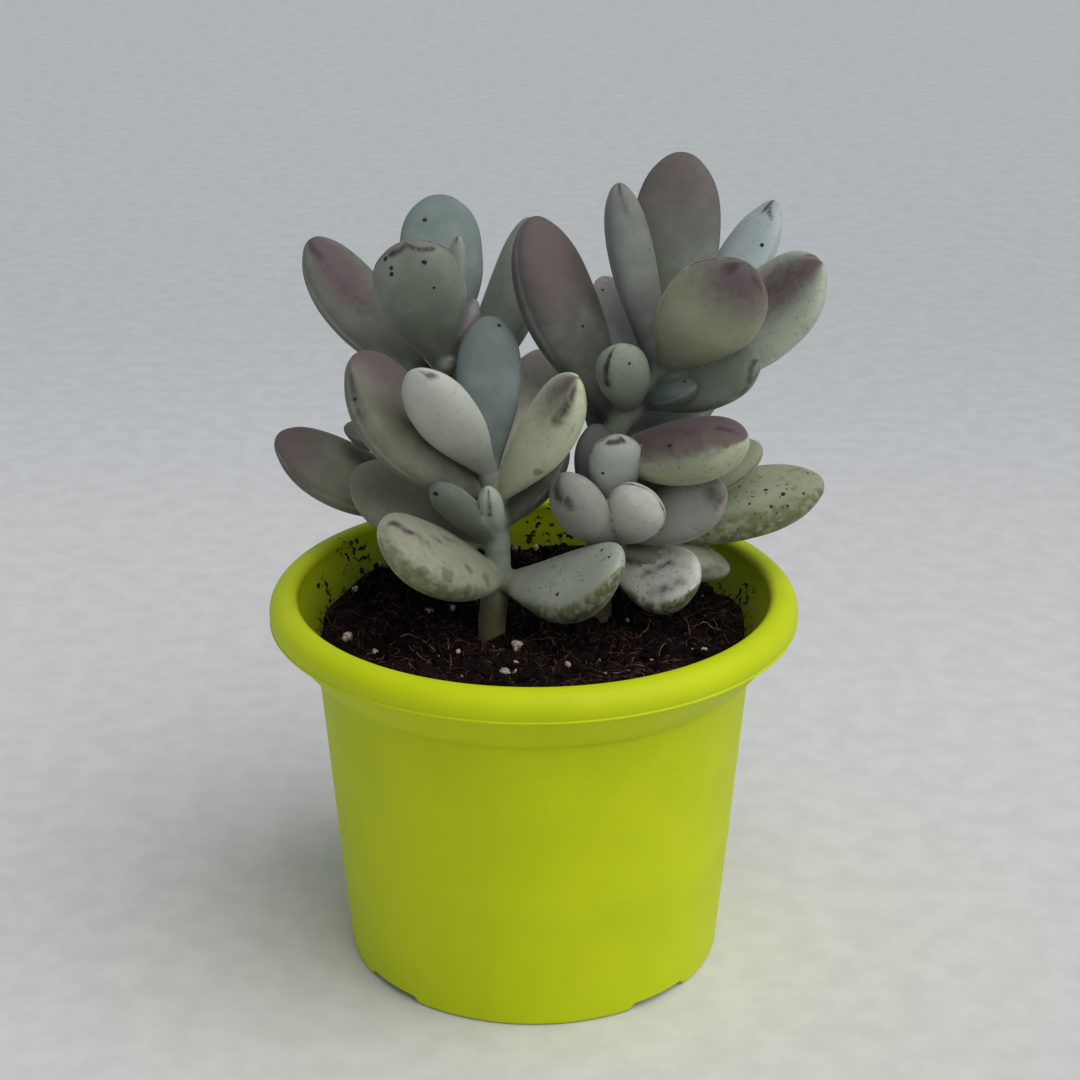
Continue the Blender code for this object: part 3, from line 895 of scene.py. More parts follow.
FRONT_LEFT = Stem(
    path=(
        (-10.4, 0.0, 70.0, 3.3),
        (-10.4, 0.0, 86.0, 3.4),
        (-8.9, 0.0, 99.0, 3.3),
        (-9.2, 0.0, 111.0, 2.9),
        (-10.4, 0.5, 121.0, 2.6),
        (-11.2, 1.0, 129.0, 1.9),
    ),
    leaves=(
        Leaf(99, -135, 29, 41, 24, 12, 30, 0.02, Tone.OLIVE, 1.52, 0.5, 0.3, 0.0, 3.0, blush_face=1,
             wear=0.5, bare=0.6, bare_from=-0.1, heel=0.75,
             streaks=(Streak((0.95, -0.6), (0.89, 0.0), 1.3, 0.9),
                      Streak((0.89, 0.0), (0.77, 0.14), 1.2, 0.9),
                      Streak((0.77, 0.14), (0.4, -0.28), 1.0, 0.6)),
             spots=(Spot(0.85, 0.97, 1.6, scar=True), Spot(0.67, 0.85, 1.9, scar=True),
                    Spot(0.45, 0.53, 1.5, scar=True), Spot(0.27, 0.69, 1.8, scar=True),
                    Spot(0.48, 0.97, 1.5, scar=True))),
        Leaf(98, -38, 19, 39, 22, 10, -35, 0.12, Tone.PALE, 0.94, wear=0.7, bare=1.0, bare_from=0.0,
             dry=0.16,
             spots=(Spot(0.8, 0.53, 0.6), Spot(0.92, 0.28, 0.5), Spot(0.55, -0.5, 0.5))),
        Leaf(108, 158, 19, 40, 21, 10, 30, 0.06, Tone.OLIVE, 0.84, 0.3, wear=0.4),
        Leaf(112, 22, 48, 27, 12, 7, 0, 0.05, Tone.OLIVE, 0.40),
        # Painted light: this leaf is coloured lighter than its own colour, for the light it catches
        # although it lies behind the leaves in front.
        Leaf(114, 72, 37, 51, 20, 9, 0, 0.05, Tone.CREAM, 1.50, 0.4, 0.6, wear=0.3, line=0.8,
             tip=2.8),
        Leaf(108, -150, 47, 24.5, 9, 6, -50, 0.00, Tone.SAGE, 0.63, tip=3.0,
             spots=(Spot(0.96, -0.17, 0.7, -1),)),
        Leaf(110, -104, 64, 16, 6, 5, 0, 0.00, Tone.MIST, 1.30, tip=2.6,
             streaks=(Streak((0.97, 0.2), (0.6, 0.1), 0.7, 0.8, -1),)),
        Leaf(118, -172, 49, 50, 25, 11, 35, 0.06, Tone.OLIVE, 0.56, 1.0, 0.62, -0.6, 1.2,
             streaks=(Streak((0.97, 0.87), (0.82, 0.95), 2.0, 0.7),),
             spots=(Spot(0.89, 0.95, 0.5),)),
        Leaf(119, -28, 56, 41, 17, 10, -55, 0.04, Tone.OLIVE, 2.14, 0.95, 0.72, 0.0, 0.8, wear=0.3,
             streaks=(Streak((0.96, -0.72), (0.77, -0.56), 2.2, 0.8),),
             spots=(Spot(0.41, -0.97, 1.3, scar=True),)),
        Leaf(126, -139, 54, 37, 16.5, 9, -35, 0.02, Tone.WHITE, 0.88, line=0.1,
             streaks=(Streak((0.97, 0.8), (0.96, 0.98), 1.1, 0.9, -1),)),
        Leaf(126, 90, 55, 39, 16, 8, 0, 0.02, Tone.BLUE, 0.60, line=0.1, tip=2.7,
             spots=(Spot(0.94, -0.47, 0.5),)),
    ),
)

BACK_LEFT = Stem(
    path=(
        (-20.0, 26.5, 70.0, 3.4),
        (-20.0, 26.5, 88.0, 3.5),
        (-21.2, 25.5, 105.0, 3.3),
        (-22.0, 25.0, 120.0, 3.0),
        (-22.6, 25.0, 138.0, 2.7),
        (-22.2, 25.0, 149.0, 2.0),
    ),
    leaves=(
        Leaf(105, 177, 25, 48, 22, 11, 20, 0.04, Tone.OLIVE, 0.76, 1.0, 0.76, wear=0.3, line=0.6),
        Leaf(106, 50, 4, 36, 17, 9, 0, 0.05, Tone.SAGE, 0.80, 0.3, wear=0.4),
        Leaf(112, 95, 25, 40, 18, 9, 0, 0.05, Tone.SAGE, 0.80, 0.4, wear=0.4),
        Leaf(127, 166, 0, 26, 14, 8, 0, 0.04, Tone.OLIVE, 0.49),
        Leaf(128, 110, 42, 42, 19, 10, 0, 0.05, Tone.SAGE, 0.80, 0.4),
        Leaf(134, 50, 51, 54, 16, 10, 0, 0.12, Tone.MIST, 0.77),
        Leaf(139, 154, 42.5, 50, 19.5, 11, 20, 0.06, Tone.SAGE, 0.65, 1.1, 0.55, 0.1, 0.8,
             streaks=(Streak((0.96, 0.5), (0.9, 0.4), 2.4, 0.8),
                      Streak((0.9, 0.4), (0.55, 0.25), 2.6, 0.45))),
        Leaf(145, -124, 67, 37.5, 22, 10, -40, 0.00, Tone.SAGE, 0.80, 0.5, 0.98, line=1.0, tip=2.9,
             streaks=(Streak((0.97, -0.85), (1.0, 0.1), 0.6, 1.0, -1),
                      Streak((1.0, 0.1), (0.94, 0.88), 0.6, 1.0, -1)),
             spots=(Spot(0.95, -0.9, 0.7, -1), Spot(0.91, -0.56, 0.6, -1),
                    Spot(0.87, -0.53, 0.6, -1), Spot(0.9, 0.34, 0.7, -1),
                    Spot(0.72, 0.31, 0.4, -1))),
        Leaf(145, 93, 52, 46, 21, 9, 0, 0.00, Tone.BLUE, 0.66, line=1.0, tip=3.0,
             spots=(Spot(0.83, 0.37, 0.7),)),
        Leaf(147, 55, 77, 30, 6, 5, 0, 0.00, Tone.SILVER, 0.70, tip=2.8,
             streaks=(Streak((0.98, 0.0), (1.0, 0.0), 0.8, 1.0),)),
        Leaf(144, 17, 64, 19, 7, 5, 0, 0.00, Tone.MAUVE, 0.90, tip=2.8),
        Leaf(144, -70, 40, 6.5, 4.5, 4, 0, 0.00, Tone.SAGE, 0.95),
        Leaf(143, 165, 50, 8.5, 3, 2.5, 0, 0.00, Tone.PALE, 0.90),
    ),
)

BACK_RIGHT = Stem(
    path=(
        (16.0, 10.0, 70.0, 3.5),
        (16.0, 10.0, 88.0, 3.6),
        (16.6, 11.5, 105.0, 3.3),
        (18.0, 13.0, 126.0, 3.0),
        (21.0, 14.0, 134.0, 2.9),
        (28.0, 15.0, 141.0, 2.8),
        (33.0, 15.0, 149.0, 2.5),
        (36.0, 15.0, 155.0, 2.0),
    ),
    leaves=(
        Leaf(107, -2, 13, 56, 23, 11, -20, 0.02, Tone.OLIVE, 1.20, 0.3, 0.85, wear=1.0, bare=0.75,
             bare_from=-0.5, line=0.8,
             spots=(Spot(0.82, -0.41, 0.65), Spot(0.76, -0.67, 0.4), Spot(0.91, -0.59, 0.45),
                    Spot(0.75, -0.17, 0.5), Spot(0.67, -0.47, 0.4), Spot(0.83, -0.79, 0.4))),
        Leaf(104, 70, 18, 42, 19, 10, 0, 0.05, Tone.SAGE, 0.80, 0.4, wear=0.6),
        Leaf(113, -7, 23, 42, 15, 9, -35, 0.03, Tone.OLIVE, 1.05, line=0.8),
        Leaf(112, 62, 42, 38, 17, 9, 0, 0.05, Tone.SAGE, 0.80, 0.4),
        Leaf(125, 93, 50, 43, 14, 8, 0, 0.03, Tone.SAGE, 0.64),
        Leaf(125, 35, 25, 38, 17, 9, 0, 0.05, Tone.SAGE, 0.80, 0.5),
        Leaf(126, -39, 17, 42, 20, 15, -10, 0.00, Tone.OLIVE, 1.72, 1.1, 0.2, 0.0, 3.0,
             blush_face=1, wear=0.6, bare=0.3, heel=1.0,
             streaks=(Streak((0.9, -0.17), (0.96, -0.07), 1.4, 0.95),
                      Streak((0.51, -0.24), (0.81, -0.47), 2.5, 0.4)),
             spots=(Spot(0.64, -0.79, 0.6), Spot(0.96, -0.95, 1.0, scar=True))),
        Leaf(134, 152, 63, 54, 21, 14, 20, 0.04, Tone.SAGE, 0.43, 0.9, 0.55, 0.2, 1.6, heel=1.1,
             spots=(Spot(0.47, 0.07, 0.5),)),
        Leaf(140, -50, 22, 19, 8, 6, -30, 0.00, Tone.TEAL, 0.62,
             spots=(Spot(0.88, 0.14, 0.5),)),
        Leaf(137, -107, 55, 25, 13, 8, -25, 0.00, Tone.SAGE, 1.20, tip=2.5,
             streaks=(Streak((0.97, -0.7), (0.66, -0.62), 1.0, 1.0, -1),),
             spots=(Spot(0.88, 0.34, 0.4, -1),)),
        Leaf(139, -30, 26, 35, 15, 8, -55, 0.03, Tone.SAGE, 0.73, line=1.0, tip=2.8,
             streaks=(Streak((0.99, -0.07), (0.93, -0.96), 1.0, 0.8),)),
        Leaf(143, -8, 39, 51, 24, 10, -45, 0.07, Tone.MIST, 1.30, 1.0, 0.55, 0.1, 0.7, wear=0.4,
             tip=2.6,
             streaks=(Streak((0.97, 0.6), (0.99, 0.8), 1.0, 0.8),)),
        Leaf(144, 113, 31, 36, 14, 7, 0, 0.05, Tone.MAUVE, 1.46, 0.3,
             spots=(Spot(0.86, 0.41, 0.4),)),
        Leaf(144, -26, 17, 10, 8, 6, 0, 0.00, Tone.SAGE, 0.72),
        Leaf(146, 134, 71, 47, 11.5, 9, 20, 0.02, Tone.SILVER, 0.42, 0.5, 0.95, 0.0, 0.8, root_wax_and_shade=0.45,
             tip=2.5,
             streaks=(Streak((0.97, 0.2), (1.0, 0.1), 1.1, 1.0),
                      Streak((0.97, 0.2), (0.85, 0.1), 1.2, 0.5))),
        Leaf(147, 80, 57, 56, 22, 9, 0, 0.02, Tone.SAGE, 0.62, 0.75, 0.65, line=1.0, tip=2.6),
        Leaf(148, 41, 44, 49, 16, 8, 0, 0.04, Tone.ICE, 0.80, point=2.0, tip=3.0,
             streaks=(Streak((0.965, 0.0), (1.0, 0.0), 1.5, 1.0),
                      Streak((0.93, -0.6), (0.97, -0.2), 0.8, 0.9)),
             spots=(Spot(0.77, -0.69, 0.6),)),
        Leaf(148, -49, 50, 40, 24, 11, 50, 0.03, Tone.OLIVE, 1.20, 1.3, 0.84, 0.1, 2.0, line=0.8,
             heel=1.0,
             streaks=(Streak((0.98, -0.8), (0.97, -0.4), 1.2, 0.9, -1),
                      Streak((0.99, 0.6), (0.95, 0.9), 1.0, 0.7, -1))),
    ),
)

FRONT_RIGHT = Stem(
    path=(
        (16.5, 9.5, 90.0, 2.6),
        (18.5, 5.5, 96.0, 2.8),
        (19.5, 3.5, 102.0, 2.7),
        (19.5, 2.5, 110.0, 2.5),
        (19.0, 2.0, 119.0, 1.9),
    ),
    leaves=(
        Leaf(100, -37, 3, 25, 18, 10, -45, 0.06, Tone.WHITE, 1.45, 0.4, 0.4, wear=0.7, bare=0.9,
             bare_from=0.05, hollow=0.3,
             streaks=(Streak((0.42, -0.1), (0.69, 0.37), 1.1, 0.8),
                      Streak((0.61, -0.53), (0.89, -0.14), 2.0, 0.6)),
             spots=(Spot(0.3, 0.74, 1.1, scar=True),)),
        Leaf(105, 0, -11, 29, 13, 8, -10, -0.03, Tone.OLIVE, 1.15, 0.6, 0.8, wear=0.7,
             streaks=(Streak((0.75, -0.95), (0.91, -0.8), 1.4, 0.6),)),
        Leaf(107, -142, 53, 26, 13.8, 10, -30, 0.08, Tone.WHITE, 0.58, 0.3, 0.7, wear=0.3, tip=2.5,
             heel=1.3,
             streaks=(Streak((0.96, -0.56), (0.86, 0.14), 2.0, 0.85, -1),)),
        Leaf(109, -23, 28, 32, 16, 9, -55, 0.04, Tone.WHITE, 0.60, 0.7, 0.88, wear=0.4,
             streaks=(Streak((0.91, 0.07), (0.96, -0.72), 2.2, 0.6),)),
        Leaf(108, 133, 76, 28, 13, 7, 20, 0.03, Tone.BLUE, 0.40, 0.5),
        Leaf(108, -56, 47, 22, 14.8, 9, 59, 0.00, Tone.WHITE, 1.08, line=1.0, tip=2.5, heel=1.15),
        Leaf(117, -83, 71, 21, 13, 7, 0, 0.00, Tone.SILVER, 0.94, line=1.0, tip=2.9, heel=1.0,
             streaks=(Streak((0.965, -0.8), (0.985, 0.6), 0.45, 0.9, -1),),
             spots=(Spot(0.6, -0.5, 0.4, -1),)),
    ),
)


@dataclass(frozen=True)
class PlasticFinish:
    """Matt lime plastic with a fine moulded grain, painted shade down the inner wall and soil
    smeared inside.

    Each smear is a place on the inner wall and how far the soil reaches round it.
    """

    lime: Colour = (0.55, 0.645, 0.001)
    lime_dark: Colour = (0.51, 0.605, 0.001)
    inner: Colour = (0.15, 0.18, 0.001)
    scuff: Colour = (0.42, 0.50, 0.004)
    soil: Colour = (0.014, 0.009, 0.006)
    smears: tuple[tuple[float, float, float, float], ...] = (
        (-47.0, 33.0, 89.5, 11.0), (-54.0, 18.0, 88.5, 6.0), (53.5, 15.0, 87.5, 10.0),
        (4.0, 56.0, 88.0, 14.0), (-30.0, -46.0, 86.5, 7.0),
    )
    cloud_size: float = 22.0
    grain_size: float = 0.35
    scuff_size: float = 9.0
    dirt_size: float = 1.7
    mark_size: float = 4.5
    clouded: Mask = Mask(0.3, 0.7)
    scuffed: Mask = Mask(0.60, 0.74)
    scuff_grain: Mask = Mask(0.35, 0.65)
    lit_inside: Mask = Mask(85.5, 94.5)
    above_soil: Mask = Mask(84.8, 87.0)
    dirty: Mask = Mask(0.735, 0.775)
    dirt_reach: Mask = Mask(0.02, 0.2)
    above_marks: Mask = Mask(71.0, 74.0)
    from_marks: Mask = Mask(60.0, 63.0)
    marked: Mask = Mask(0.56, 0.62)
    relief: float = 0.03

    def paint(self) -> Material:
        """Make the pot's material."""
        paint = Paint("lime_plastic", Specular_IOR_Level=0.22)
        cloud = paint.noise(self.cloud_size)
        grain = paint.noise(self.grain_size)
        colour = paint.mix(self.clouded.of(cloud), self.lime_dark, self.lime)
        scuffs = self.scuffed.of(paint.noise(self.scuff_size, 6.0, 1.5))
        scuffs = scuffs * self.scuff_grain.of(grain)
        colour = paint.mix(scuffs * 0.30, colour, self.scuff)
        height = paint.along("Z")
        inside = paint.attribute("inside")
        # Painted shade on the inner wall, darkest down by the soil and fading out towards the rim.
        colour = paint.mix(inside * (1.0 - self.lit_inside.of(height)) * 0.75, colour, self.inner)
        ragged = paint.noise(self.dirt_size, 4.0, 0.6)
        near = 1.0 - self.above_soil.of(height)
        for x, y, z, reach in self.smears:
            near = near | (1.0 - paint.away((x, y, z)).rise(0.25 * reach, reach))
        dirt = inside * self.dirty.of(ragged + 0.20 * near) * self.dirt_reach.of(near)
        colour = paint.mix(dirt, colour, self.soil)
        paint.feed("Base Color", colour)
        paint.feed("Roughness", 0.52 + 0.10 * (grain - 0.5) + 0.08 * scuffs + 0.3 * dirt)
        band = self.from_marks.of(height) - self.above_marks.of(height)
        marks = band * self.marked.of(paint.noise(self.mark_size, 1.0, 2.5))
        paint.bump(grain + 2.0 * dirt + 3.0 * marks, self.relief, 0.5)
        return paint.material


@dataclass
class PlasticPot:
    """Round pot with a thick rounded rim on a collar, drainage holes and notches in its foot."""

    rim_radius: float = 65.0
    height: float = 96.6
    roll_radius: float = 4.65
    lip_angle: float = -20.0
    edge_radius: float = 2.1
    inside_radius: float = 58.0
    foot_radius: float = 47.1
    wall_taper: float = 0.083
    wall: float = 1.5
    band_height: float = 78.4
    band_step: float = 0.4
    collar: tuple[Point, ...] = (
        (54.6, 78.95), (55.3, 79.3), (56.0, 79.9), (57.8, 82.1), (61.4, 86.5), (63.3, 88.8),
    )
    lip: tuple[Point, ...] = (
        (63.9, 89.35), (64.72, 89.62), (64.98, 89.85), (64.98, 90.05), (64.78, 90.22),
    )
    band_edge: Point = (-0.02, -0.3)
    flare_height: float = 82.5
    flare_steps: int = 14
    roll_steps: int = 24
    edge_steps: int = 12
    corner_steps: int = 8
    corner_radius: float = 1.2
    foot_ring: float = 3.0
    recess: float = 2.6
    pad_radius: float = 19.0
    floor_chamfer: float = 2.0
    ring_heights: Point = (31.0, 33.4)
    ring_step: float = 0.10
    ring_reach: float = 0.9
    plain_wall: Point = (15.0, 56.0)
    crease: float = 40.0
    notch_count: int = 4
    notch_turn: float = -49.0
    notch_width: float = 17.0
    notch_height: float = 2.0
    drain_radius: float = 4.5
    drain_circle: float = 33.0
    drain_depth: float = 16.0
    drain_sides: int = 32
    sides: int = 240

    def wall_radius(self, height: float) -> float:
        """Outer radius of the wall below the band."""
        return self.foot_radius + self.wall_taper * height

    def arc(self, centre: Point, radius: float, start: float, end: float,
            steps: int) -> list[Point]:
        """Points of an arc in the half section.

        Args:
            centre: its middle, as (radius, height).
            radius: its own radius.
            start: its first angle.
            end: its last angle.
            steps: how many parts it has.

        Returns:
            Its points, as (radius, height).
        """
        turns = [radians(start + (end - start) * step / steps) for step in range(steps + 1)]
        return [(centre[0] + radius * cos(turn), centre[1] + radius * sin(turn)) for turn in turns]

    def flare(self) -> list[Point]:
        """Inner side of the rim, from its top down to the wall, steep at the top."""
        low = self.wall_radius(self.flare_height) - self.wall
        rise = self.height - self.edge_radius - self.flare_height
        points = []
        for step in range(self.flare_steps - 1, -1, -1):
            share = step / self.flare_steps
            radius = low + (self.inside_radius - low) * sin(0.5 * pi * share)
            points.append((radius, self.flare_height + rise * share))
        return points

    def rings(self) -> list[Point]:
        """Two faint raised rings low on the wall."""
        points = []
        for height in self.ring_heights:
            reach = self.ring_reach
            for step, lift in ((-reach, 0.0), (0.0, self.ring_step), (reach, 0.0)):
                points.append((self.wall_radius(height + step) + lift, height + step))
        return points

    def outline(self) -> list[Point]:
        """Half section, out along the underside, up the wall, over the rim and back inside."""
        inside_foot = self.foot_radius - self.foot_ring
        floor = self.recess + self.wall
        floor_radius = self.wall_radius(floor) - self.wall
        roll = (self.rim_radius - self.roll_radius, self.height - self.roll_radius)
        edge = (self.inside_radius + self.edge_radius, self.height - self.edge_radius)
        corner = (self.foot_radius - self.corner_radius, self.corner_radius)
        band = self.wall_radius(self.band_height)
        points = [(0.0, 0.0), (self.pad_radius, 0.0), (self.pad_radius + self.recess, self.recess)]
        points += [(inside_foot - 0.5 * self.recess, self.recess), (inside_foot, 0.0)]
        points += self.arc(corner, self.corner_radius, -90.0, 0.0, self.corner_steps)
        low, high = [(self.wall_radius(height), height) for height in self.plain_wall]
        points += [low] + self.rings() + [high]
        for out, up in (self.band_edge, (0.0, 0.0), (self.band_step, self.band_step)):
            points.append((band + out, self.band_height + up))
        points += list(self.collar) + list(self.lip)
        points += self.arc(roll, self.roll_radius, self.lip_angle, 90.0, self.roll_steps)
        points += self.arc(edge, self.edge_radius, 90.0, 180.0, self.edge_steps)
        points += self.flare()
        points.append((floor_radius, floor + self.floor_chamfer))
        points.append((floor_radius - self.floor_chamfer, floor))
        points.append((self.pad_radius + self.recess, floor))
        points += [(self.pad_radius, self.wall), (0.0, self.wall)]
        return points

    def build(self, finish: PlasticFinish) -> Object:
        """Turn the pot and cut its notches and holes.

        Args:
            finish: its plastic.

        Returns:
            The pot's object.
        """
        bm = turned(self.outline(), self.sides)
        self.notch(bm)
        inside = bm.verts.layers.float.new("inside")
        for vertex in bm.verts:
            inwards = -vertex.normal.dot(Vector((vertex.co.x, vertex.co.y, 0.0)))
            vertex[inside] = 1.0 if inwards > 0.0 and vertex.co.z > self.band_height else 0.0
        pot = finish_piece("moulded_pot", bm, finish.paint(), self.crease)
        for index in range(self.notch_count):
            self.drain(pot, self.notch_at(index))
        place_piece(pot, "pot", "pot")
        return pot

    def notch_at(self, index: int) -> float:
        """Direction of a notch and of the hole beside it."""
        return radians(self.notch_turn) + index * 2.0 * pi / self.notch_count

    def drain(self, pot: Object, turn: float) -> None:
        """Cut a drainage hole through the raised floor.

        Args:
            pot: the turned pot.
            turn: direction of the hole from the axis.
        """
        bm = bmesh.new()
        bmesh.ops.create_cone(
            bm, cap_ends=True, segments=self.drain_sides, radius1=self.drain_radius,
            radius2=self.drain_radius, depth=self.drain_depth,
        )
        place = Vector((cos(turn), sin(turn), 0.0)) * self.drain_circle
        bmesh.ops.translate(bm, vec=place, verts=bm.verts)
        cutter = finish_piece("drain_cutter", bm, pot.data.materials[0])
        boolean = pot.modifiers.new("drain", "BOOLEAN")
        boolean.operation = "DIFFERENCE"
        boolean.solver = "MANIFOLD"
        boolean.object = cutter
        settle(pot)
        bpy.data.objects.remove(cutter, do_unlink=True)

    def notch(self, bm: BMesh) -> None:
        """Lift the foot ring's underside to form the drainage notches."""
        half = 0.5 * self.notch_width / self.foot_radius
        for index in range(self.notch_count):
            turn = self.notch_at(index)
            heading = Vector((cos(turn), sin(turn), 0.0))
            for vertex in bm.verts:
                flat = Vector((vertex.co.x, vertex.co.y, 0.0))
                if flat.length < self.foot_radius - self.foot_ring - 0.1:
                    continue
                if vertex.co.z < self.notch_height and flat.angle(heading) < half:
                    vertex.co.z = self.notch_height


def turned(outline: Sequence[Point], sides: int) -> BMesh:
    """Spin a half section whose ends lie on the axis into a closed body.

    Args:
        outline: its points, as (radius, height).
        sides: how many steps go round.

    Returns:
        The body's bmesh.
    """
    bm = bmesh.new()
    corners = [bm.verts.new((radius, 0.0, height)) for radius, height in outline]
    edges = [bm.edges.new(pair) for pair in zip(corners, corners[1:])]
    bmesh.ops.spin(bm, geom=corners + edges, cent=(0.0, 0.0, 0.0), axis=UP,
                   angle=2.0 * pi, steps=sides, use_merge=True)
    bmesh.ops.remove_doubles(bm, verts=bm.verts, dist=TINY)
    bmesh.ops.recalc_face_normals(bm, faces=bm.faces)
    return bm


@dataclass(frozen=True)
class SoilFinish:
    """Damp black peat, with lighter dry crumbs."""

    wet: Colour = (0.0024, 0.0012, 0.0009)
    damp: Colour = (0.0075, 0.0038, 0.0027)
    dry: Colour = (0.026, 0.0135, 0.0095)
    fibre: Colour = (0.150, 0.066, 0.044)
    fibre_dark: Colour = (0.026, 0.011, 0.008)
    root: Colour = (0.34, 0.22, 0.17)
    perlite: Colour = (0.50, 0.43, 0.36)
    perlite_dirt: Colour = (0.20, 0.13, 0.09)
    lump_size: float = 3.0
    grit_size: float = 0.5
    strand_size: float = 1.6
    strand_grain: float = 0.6
    dirt_size: float = 1.3
    perlite_grain: float = 0.25
    damp_lumps: Mask = Mask(0.35, 0.65)
    dry_lumps: Mask = Mask(0.35, 0.6)
    dry_grit: Mask = Mask(0.58, 0.76)
    sleek: Mask = Mask(0.5, 0.8)
    light_strand: Mask = Mask(0.42, 0.68)
    dirty: Mask = Mask(0.42, 0.66)
    bed_relief: float = 0.35
    perlite_relief: float = 0.12

    def paint_bed(self) -> Material:
        """Make the material of the soil and its crumbs."""
        paint = Paint("peat", Specular_IOR_Level=0.12)
        lump = paint.noise(self.lump_size, 4.0)
        grit = paint.noise(self.grit_size, 3.0)
        colour = paint.mix(self.damp_lumps.of(lump), self.wet, self.damp)
        colour = paint.mix(self.dry_grit.of(grit) * self.dry_lumps.of(lump), colour, self.dry)
        paint.feed("Base Color", colour)
        paint.feed("Roughness", 0.92 - 0.25 * self.sleek.of(lump))
        paint.bump(grit + lump, self.bed_relief, 0.8)
        return paint.material

    def paint_strand(self, name: str, dark: Colour, light: Colour) -> Material:
        """Make the material of fibres or roots.

        Args:
            name: the material's name.
            dark: their darkest colour.
            light: their lightest colour.

        Returns:
            The material.
        """
        paint = Paint(name, Specular_IOR_Level=0.3)
        share = self.light_strand.of(paint.noise(self.strand_size, 3.0))
        paint.feed("Base Color", paint.mix(share, dark, light))
        paint.feed("Roughness", 0.75 + 0.2 * paint.noise(self.strand_grain))
        return paint.material

    def paint_perlite(self) -> Material:
        """Make the material of the perlite grains."""
        paint = Paint("perlite", Specular_IOR_Level=0.3)
        dirt = self.dirty.of(paint.noise(self.dirt_size, 3.0))
        grit = paint.noise(self.perlite_grain)
        paint.feed("Base Color", paint.mix(dirt * 0.8, self.perlite, self.perlite_dirt))
        paint.feed("Roughness", 0.85 + 0.1 * grit)
        paint.bump(grit, self.perlite_relief)
        return paint.material


@dataclass(frozen=True)
class Lumps:
    """Grains of one kind that lie about on the soil.

    edge is how far they stay from the soil's edge, small and spread are the radius of the
    smallest and how much larger the largest are, power how rare the large ones are, rise how far
    a grain's middle stands above the soil, as a share of its radius, and fine how finely its ball
    is divided.
    """

    count: int
    edge: float
    small: float
    spread: float
    power: int
    rise: float
    fine: int


@dataclass(frozen=True)
class Strands:
    """Thin strands of one kind, with their range of lengths and radii and how much they bend."""

    count: int
    lengths: Point
    radii: Point
    curl: float


